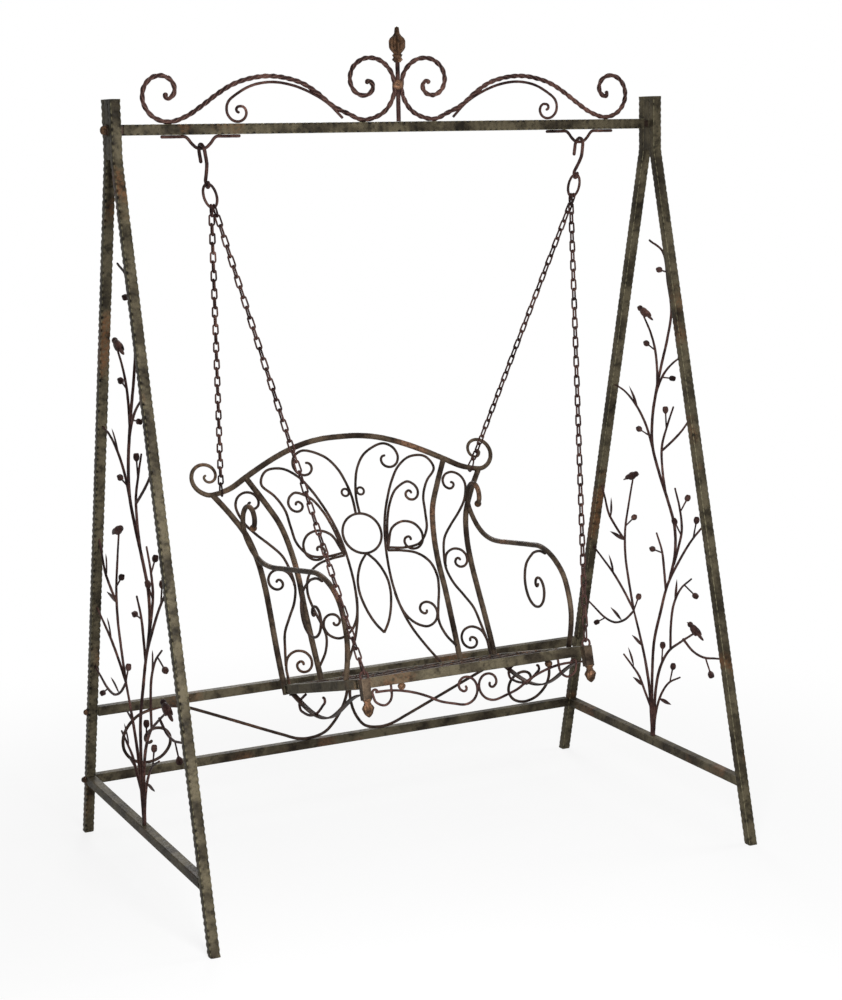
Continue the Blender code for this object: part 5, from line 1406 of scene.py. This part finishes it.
eye = stroke(across_x(circle(eye_at, EYE_BEND)), EYE_WIRE, closed=True)
for side_name, side in SIDES.items():
    spot = SEAT @ Matrix.Translation((side * corner_spot.x, corner_spot.y, corner_spot.z))
    block = soft_block("block", (block_wide, block_wide, block_tall), block_at, BURNISHED_IRON, 0.0018)
    block.data.transform(spot)
    neck = turned("neck", sized(NECK_ROWS, bulb, WASHER, low), COPPER, spot, 32, per_span=2)
    flame = turned("flame", eased(sized(POINT_ROWS, bulb, POINT_LONG, low), 30), COPPER, spot, 72,
                   flutes=8, depth=0.34, twist=side * -150.0, per_span=1)
    eye_ring = forge("eye", [placed(eye, spot)], RED_IRON, 12)
    hang(join(f"corner_point_{side_name}", [block, neck, flame, eye_ring]), "chair", "copper_patina",
         f"corner_block_{side_name}")

# %% [markdown]
# ## The back
# The back is a rail that falls from a round crown and winds into a volute at each side, with two posts on
# each hand. Between them run thin scrolls, drawn as shares of the back's half width and height.

# %% Drawn lines of the back
TOP_RAIL_SHARES = ((0, 1), (0.163, 0.996), (0.325, 0.977), (0.5, 0.94), (0.675, 0.891),
                   (0.838, 0.84), (0.925, 0.817), (1.01, 0.81))
OUTER_POST_SHARES = ((0.787, 0), (0.787, 0.157), (0.777, 0.371), (0.782, 0.493), (0.815, 0.606),
                     (0.88, 0.693), (1.01, 0.81))
INNER_POST_SHARES = ((0.517, 0), (0.525, 0.143), (0.53, 0.343), (0.527, 0.457), (0.555, 0.614),
                     (0.615, 0.714), (0.752, 0.866))
BIG_S_SHARES = ((0.4, 0.006), (0.275, 0.117), (0.18, 0.236), (0.14, 0.386), (0.162, 0.564),
                (0.23, 0.7), (0.35, 0.829), (0.475, 0.885), (0.587, 0.887), (0.662, 0.85),
                (0.62, 0.8), (0.537, 0.75), (0.512, 0.657), (0.475, 0.557), (0.362, 0.514),
                (0.175, 0.52))
UPPER_CURL_SHARES = ((0.17, 0.517), (0.2, 0.614), (0.262, 0.707), (0.338, 0.764), (0.412, 0.783))
SMALL_CURL_SHARES = ((0.165, 0.51), (0.185, 0.543))
LOWER_ARC_SHARES = ((0.165, 0.509), (0.312, 0.496), (0.43, 0.464), (0.487, 0.393), (0.47, 0.307),
                    (0.425, 0.221), (0.437, 0.157), (0.51, 0.09))
LOWER_CURL_SHARES = ((0.143, 0.336), (0.17, 0.264), (0.23, 0.21), (0.325, 0.184))
SIDE_S_SHARES = ((0.75, 0.107), (0.707, 0.236), (0.637, 0.307), (0.58, 0.371), (0.57, 0.429),
                 (0.60, 0.52), (0.675, 0.579), (0.775, 0.639), (0.843, 0.693), (0.868, 0.743))
SIDE_MIDDLE_SHARES = ((0.572, 0.414), (0.572, 0.429))
SIDE_FOOT_SHARES = ((0.754, 0.006), (0.75, 0.1))
ANTENNA_SHARES = ((0.014, 0.674), (0.02, 0.764), (0.075, 0.864), (0.155, 0.921), (0.237, 0.945))
LEAF_LOOP_SHARES = ((0, 0.508), (0.07, 0.46), (0.112, 0.393), (0.112, 0.336), (0.085, 0.271),
                    (0.04, 0.214), (0, 0.183))
CIRCLE_HEIGHT_SHARE = 0.59
SMALL_RING_SHARES = (0.0575, 0.764)


def back_path(table, count):
    return smooth(shares(table, BACK_HALF, BACK_HEIGHT), count)


def back_curl(table, count, sweep, start, end, steps, hand, heading=None, roll=140):
    """A drawn line of the back, wound into a curl whose radii are shares of the back's half width."""
    path = curl(back_path(table, count), sweep, BACK_HALF * start, BACK_HALF * end, steps, heading)
    return rolled(path, hand, roll)


rail_half = back_curl(TOP_RAIL_SHARES, 9, 430, 0.132, 0.024, 14, LEFT_HAND, 0, 110)
rail_path = [Vector((-point.x, point.y)) for point in reversed(rail_half[1:])] + rail_half
print("top rail", round(path_length(rail_path), 3), "m of tube")

# %% Rail and posts, in burnished tube
rail = stroke(across_x(rail_path), BACK_TUBE, tips="both", drawn_out=0.42, taper=0.24)
hang(forge("back_crown_rail", [placed(rail, BACK)], BURNISHED_IRON, 20), "chair", "burnished_iron",
     "back_top_rail")
for post_name, table in (("outer", OUTER_POST_SHARES), ("inner", INNER_POST_SHARES)):
    post = stroke(across_x(back_path(table, 9)), BACK_TUBE * 0.98)
    if post_name == "outer":
        post = {**post, "points": post["points"][:-1], "thick": post["thick"][:-1]}
    forge_pair(f"back_tube_{post_name}", [post], BURNISHED_IRON, "chair", "burnished_iron",
               f"back_post_{post_name}", BACK, 20)

# %% Scrolls of the back
wire_plane = (BACK_WIRE - BACK_TUBE) / 2


def wire(points, tips=""):
    return stroke(across_x(points, wire_plane), BACK_WIRE * 0.92, tips=tips, step=0.0028)


curls = [back_curl(UPPER_CURL_SHARES, 6, -330, 0.085, 0.02, 8, RIGHT_HAND, 0),
         back_curl(SMALL_CURL_SHARES, 2, -430, 0.16, 0.02, 11, RIGHT_HAND, 85),
         back_curl(LOWER_CURL_SHARES, 5, 335, 0.11, 0.02, 8, LEFT_HAND, 0)]
upper, small, lower = (wire(path, "end") for path in curls)
panel_strokes = [wire(back_path(BIG_S_SHARES, 24)), upper, small, wire(back_path(LOWER_ARC_SHARES, 10)), lower]
side_curls = [back_curl(SIDE_S_SHARES, 12, 330, 0.11, 0.022, 8, LEFT_HAND, 85),
              back_curl(SIDE_MIDDLE_SHARES, 2, -400, 0.107, 0.02, 10, RIGHT_HAND, 88),
              back_curl(SIDE_FOOT_SHARES, 3, 430, 0.113, 0.02, 11, LEFT_HAND, 92)]
side_strokes = [wire(path, "end") for path in side_curls]
for name, node, strokes in (("back_panel_scrolls", "back_scroll", panel_strokes),
                            ("back_side_scrolls", "side_scroll", side_strokes)):
    forge_pair(name, strokes, BROWN_IRON, "chair", "brown_iron", node, BACK)

# %% Medallion: antennae, circle and leaf loop
def hoop(centre, across, steps, share):
    return stroke(across_x(circle(centre, across / 2, steps=steps), wire_plane), BACK_WIRE * share, closed=True)


antenna = curl(back_path(ANTENNA_SHARES, 6), -395, BACK_HALF * 0.12, BACK_HALF * 0.02, 10)
medallion = [hoop((0, CIRCLE_HEIGHT_SHARE * BACK_HEIGHT), CIRCLE_ACROSS, 60, 0.92)]
small_ring_at = shares([SMALL_RING_SHARES], BACK_HALF, BACK_HEIGHT)[0]
for hand in (wire(antenna, "end"), wire(back_path(LEAF_LOOP_SHARES, 9)),
             hoop(small_ring_at, RING_SMALL, 28, 0.84)):
    medallion += [hand, mirrored(hand)]
hang(forge("back_medallion_wires", [placed(item, BACK) for item in medallion], BROWN_IRON), "chair",
     "brown_iron", "back_medallion")
print("back pieces", len(panel_strokes) * 2 + len(side_strokes) * 2 + len(medallion), "bars")

# %% [markdown]
# ## Arms
# Each arm is a round tube that stands on the side rail, bows forward, sweeps back past the outer post and
# winds down to a small copper ball. A thin curl fills the corner under it.

# %% Arms and their curls
ARM_SHARES = ((0.175, 0.083), (0.11, 0.29), (0.098, 0.439), (0.11, 0.616), (0.154, 0.748),
              (0.23, 0.861), (0.334, 0.948), (0.468, 0.987), (0.754, 1.048), (0.912, 1.087),
              (1.034, 1.158), (1.122, 1.263), (1.176, 1.377))
ARM_SCROLL_SHARES = ((0.3, 0.887), (0.38, 0.921), (0.464, 0.9))


def arm_across(depth):
    start = ARM_SHARES[0][0] * SEAT_DEPTH
    share = min(max((depth - start) / (ARM_SHARES[-1][0] * SEAT_DEPTH - start), 0.0), 1.0)
    return (SEAT_WIDTH - ARM_TUBE) / 2 + ARM_SPREAD * share


def on_arm(points):
    return [Vector((arm_across(y), y, z)) for y, z in points]


arm_path = smooth(shares(ARM_SHARES, SEAT_DEPTH, ARM_HEIGHT), 17)
arm_points = on_arm(curl(arm_path, 285, ARM_HEIGHT * 0.18, ARM_HEIGHT * 0.075, 8))
arm_tube = stroke(arm_points, ARM_TUBE * 0.98)
under = smooth(shares(ARM_SCROLL_SHARES, SEAT_DEPTH, ARM_HEIGHT), 4)
under = rolled(curl(under, -420, ARM_HEIGHT * 0.275, ARM_HEIGHT * 0.03, 12), RIGHT_HAND, 200)
under_curl = stroke(on_arm(under), ARM_WIRE * 0.92, tips="end", step=0.002)
radius = ARM_BALL / 2
ball_rows = [(0.0, radius, 0.0), *((point.y, point.x, 0.0) for point in circle((0, 0), radius, 12, 168, 13)),
             (0.0, -radius, 0.0)]
for side_name, side in SIDES.items():
    tube = arm_tube if side == RIGHT else mirrored(arm_tube)
    bar = forge("arm", [placed(tube, SEAT)], BURNISHED_IRON, 18)
    end = SEAT @ Vector((side * arm_points[-1].x, arm_points[-1].y, arm_points[-1].z))
    ball = turned("ball", ball_rows, COPPER, Matrix.Translation(end), 28, per_span=1)
    hang(join(f"arm_tube_{side_name}", [bar, ball]), "chair", "burnished_iron", f"arm_{side_name}")
forge_pair("arm_curl", [under_curl], BROWN_IRON, "chair", "brown_iron", "arm_scroll", SEAT)
print("arms", round(path_length(arm_points), 3), "m of tube each")

# %% [markdown]
# ## Chains
# A chain is one link, repeated, each turned a quarter against the last. The tree puts a link at each point
# of a straight line, and alternates the turn by the point's index. The number of links between the end
# links is odd, so that both end links face the same way, and the pitch gives a little to make it fit.

# %% The chain tree
def chain_tree():
    tree, feed, known = new_tree("chain", {
        "Wire": "Float", "Wide": "Float", "Pitch": "Float", "Finish": "Material"})
    wire, wide = feed["Wire"], feed["Wide"]
    ring = out(tree, "GeometryNodeCurvePrimitiveCircle", {"Resolution": 16,
                                                          "Radius": times(minus(wide, wire), 0.5)})
    height = place(tree, "ShaderNodeSeparateXYZ", {0: out(tree, "GeometryNodeInputPosition")}).outputs[1]
    stretch = times(minus(plus(feed["Pitch"], times(wire, 2.0)), wide), 0.5)
    lift = out(tree, "ShaderNodeCombineXYZ", {"Y": times(maths("SIGN", plus(height, 1e-5)), stretch)})
    ring = out(tree, "GeometryNodeSetPosition", {"Geometry": ring, "Offset": lift})
    section = out(tree, "GeometryNodeCurvePrimitiveCircle", {"Resolution": 8, "Radius": times(wire, 0.5)})
    link = out(tree, "GeometryNodeCurveToMesh", {"Curve": ring, "Profile Curve": section})
    along = out(tree, "FunctionNodeAxesToRotation", {"Primary Axis": named(tree, "aim", "FLOAT_VECTOR"),
                                                     "Secondary Axis": (1, 0, 0)},
                primary_axis="Y", secondary_axis="Z")
    odd = maths("MODULO", out(tree, "GeometryNodeInputIndex"), 2.0)
    turn = out(tree, "FunctionNodeAxisAngleToRotation", {"Axis": (0, 1, 0),
                                                         "Angle": times(minus(1.0, odd), math.pi / 2)})
    rotation = out(tree, "FunctionNodeRotateRotation", {"Rotation": along, "Rotate By": turn},
                   rotation_space="LOCAL")
    links = out(tree, "GeometryNodeInstanceOnPoints", {"Points": feed["Geometry"], "Instance": link,
                                                       "Rotation": rotation})
    end_tree(tree, links, feed["Finish"])
    return tree, known


CHAIN = chain_tree()


# %% Chains between the rings and the chair
def chain_links(high, low):
    """Links between the end links' inner bends; high and low are the middles of those bends' wires."""
    along = (low - high).normalized()
    reach = (low - high).length + CHAIN_WIRE
    number = 2 * round((reach / CHAIN_PITCH - 1) / 2) + 1
    pitch = reach / number
    spots = [high + along * ((pitch - CHAIN_WIRE) / 2 + pitch * index) for index in range(number)]
    item = drawn("links", spots, aim=list(along) * number)
    return run_tree(item, *CHAIN, wire=CHAIN_WIRE, wide=CHAIN_WIDE, pitch=pitch, finish=RED_IRON), number


def flattened(share, power):
    return math.copysign(abs(share) ** power, share)


def end_link(middle, along, wide_top, wide_low, long):
    """A long link in the plane of a side, as wide above and below as given."""
    across = Vector((1, 0, 0)).cross(along).normalized()
    points = []
    for step in range(36):
        angle = math.tau * step / 36
        wide = (wide_top + (wide_low - wide_top) * (1 - math.cos(angle)) / 2 - CHAIN_WIRE) / 2
        drop = -(long - CHAIN_WIRE) / 2 * flattened(math.cos(angle), 0.85)
        points.append(middle + along * drop + across * wide * flattened(math.sin(angle), 0.8))
    return {"points": points, "thick": [CHAIN_WIRE] * len(points), "closed": True}


swing_drop = strap_axis - HOOK_DROP - RING_DROP
rail_spot = rail_half[7].lerp(rail_half[8], 0.5)
eye_height = corner_spot.z + CORNER_TALL / 2 + EYE_BEND * (1 + EYE_RISE_SHARE)
half_top, half_pear = (TOP_LINK_LONG - CHAIN_WIRE) / 2, (PEAR_LONG - CHAIN_WIRE) / 2
numbers = []
for side_name, side in SIDES.items():
    axis = Vector((side * (STRAP_SPACING / 2 - HOOK_LEAN - RING_LEAN), 0, swing_drop))
    feet = {"front": (SEAT @ Vector((side * corner_spot.x, corner_spot.y, eye_height)), -CHAIN_SIDE, EYE_WIRE),
            "rear": (BACK @ Vector((side * rail_spot.x, 0, rail_spot.y)), CHAIN_SIDE, BACK_TUBE)}
    for end_name, (foot, offset, hold) in feet.items():
        start = axis + Vector((side * offset, 0, 0))
        along = (foot - start).normalized()
        last_reach = hold / 2 + HANG_PLAY / 2 + GAP + CHAIN_WIRE / 2
        top_middle = start + along * (half_top - (RING_WIRE / 2 + HANG_PLAY + GAP + CHAIN_WIRE / 2))
        low_middle = foot - along * (half_pear - last_reach)
        pear_wide = max(PEAR_WIDE * 0.72, 2 * PEAR_ROOM_SHARE * last_reach)
        ends = [end_link(top_middle, along, TOP_LINK_WIDE, TOP_LINK_WIDE * 0.9, TOP_LINK_LONG),
                end_link(low_middle, along, CHAIN_WIDE * 0.95, pear_wide, PEAR_LONG)]
        links, number = chain_links(top_middle + along * half_top, low_middle - along * half_pear)
        numbers.append(number)
        hang(join(f"chain_links_{end_name}_{side_name}", [links, forge("ends", ends, RED_IRON, 10)]), "chair",
             "dark_iron", f"chain_{end_name}_{side_name}")
print("links in each chain", numbers)

# %% [markdown]
# ## CAD nodes that stay
# Plain square bars, such as the stretchers and the rear rails, are right as the CAD has them. They only need
# a finish.

# %% Finish the CAD nodes that stay
kept = {"stretcher_left": SMOOTH_IRON, "stretcher_right": SMOOTH_IRON, "head_block_left": OLIVE_IRON,
        "head_block_right": OLIVE_IRON, "rear_rail_lower": SMOOTH_IRON, "rear_rail_upper": SMOOTH_IRON,
        "seat_rail_left": SMOOTH_IRON, "seat_rail_right": SMOOTH_IRON, "seat_lattice": BROWN_IRON}
for node_name, finish in kept.items():
    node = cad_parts[node_name]
    node.data.materials.clear()
    node.data.materials.append(finish)
print("kept nodes", sorted(kept))

# %% [markdown]
# ## Floor, light and background
# The floor is a wide pale plane. The camera sees it white, and so do glossy rays, so that the iron reflects
# a white studio; a share of real diffuse light remains in it and holds a soft shadow. Four soft lamps give
# the bars a bright side and a dark side. The nearest one stands in front and isn't seen itself.

# %% Unit shapes are drawn only as copies
for helper in (SQUARE_TUBE, beam_section, UNIT_LEAF, UNIT_BUD, UNIT_RIVET):
    bpy.data.objects.remove(helper, do_unlink=True)


# %% Studio
def white_for_eye(tree, lit, seen):
    """Mixes two closures: the seen one for camera, glossy and transmission rays."""
    path = place(tree, "ShaderNodeLightPath").outputs
    eye = maths("MAXIMUM", path["Is Camera Ray"], maths("MAXIMUM", path["Is Glossy Ray"],
                                                        path["Is Transmission Ray"]))
    return out(tree, "ShaderNodeMixShader", {0: eye, 1: lit, 2: seen})


def emptied(owner):
    owner.use_nodes = True
    owner.node_tree.nodes.clear()
    return owner.node_tree


def grey(tree, kind, value, **strength):
    return out(tree, "ShaderNode" + kind, {"Color": (value, value, value, 1), **strength})


SKY_LIGHT = 0.14
FLOOR_LIGHT = 0.30
world = bpy.data.worlds.new("studio")
tree = emptied(world)
bpy.context.scene.world = world
soft, white = (grey(tree, "Background", 1, Strength=strength) for strength in (SKY_LIGHT, 1.0))
place(tree, "ShaderNodeOutputWorld", {"Surface": white_for_eye(tree, soft, white)})

floor_material = bpy.data.materials.new("pale_floor")
tree = emptied(floor_material)
plain, dim = grey(tree, "BsdfDiffuse", 0.9), grey(tree, "BsdfDiffuse", FLOOR_LIGHT)
glow = grey(tree, "Emission", 1, Strength=1.0)
far = place(tree, "ShaderNodeVectorMath", {0: place(tree, "ShaderNodeTexCoord").outputs["Object"]},
            operation="LENGTH").outputs["Value"]
fade = out(tree, "ShaderNodeMapRange", {"Value": far, "From Min": 0.9, "From Max": 2.3, "To Min": 0.84},
           interpolation_type="SMOOTHSTEP")
veil = out(tree, "ShaderNodeMixShader", {0: fade, 1: plain, 2: glow})
place(tree, "ShaderNodeOutputMaterial", {"Surface": white_for_eye(tree, dim, veil)})
FLOOR_HALF = 30
FLOOR_DROP = 0.0005
work = bmesh.new()
bmesh.ops.create_grid(work, x_segments=2, y_segments=2, size=FLOOR_HALF)
floor = skinned("floor", work, floor_material)
floor.location.z = -FLOOR_DROP


# %% Soft lamps
def softbox(name, spot, target, size, power):
    data = bpy.data.lights.new(name, "AREA")
    data.shape = "RECTANGLE"
    data.size, data.size_y = size
    data.energy = power
    item = bpy.data.objects.new(name, data)
    item.location = spot
    item.rotation_euler = (Vector(target) - Vector(spot)).to_track_quat("-Z", "Y").to_euler()
    bpy.context.scene.collection.objects.link(item)
    return item


key = softbox("key", (-0.7, -2.2, 1.2), (-0.2, 0, 1.0), (0.8, 1.4), 62)
key.visible_camera = False
softbox("side", (5.0, -0.6, 2.6), (0, 0, 0.9), (1.8, 2.2), 80)
softbox("back", (1.4, 4.8, 3.0), (0, 0, 1.0), (1.8, 2.2), 90)
softbox("top", (0.4, 0.6, 5.2), (0, 0, 0.8), (3.0, 3.0), 45)
bpy.context.scene.view_settings.view_transform = "Standard"
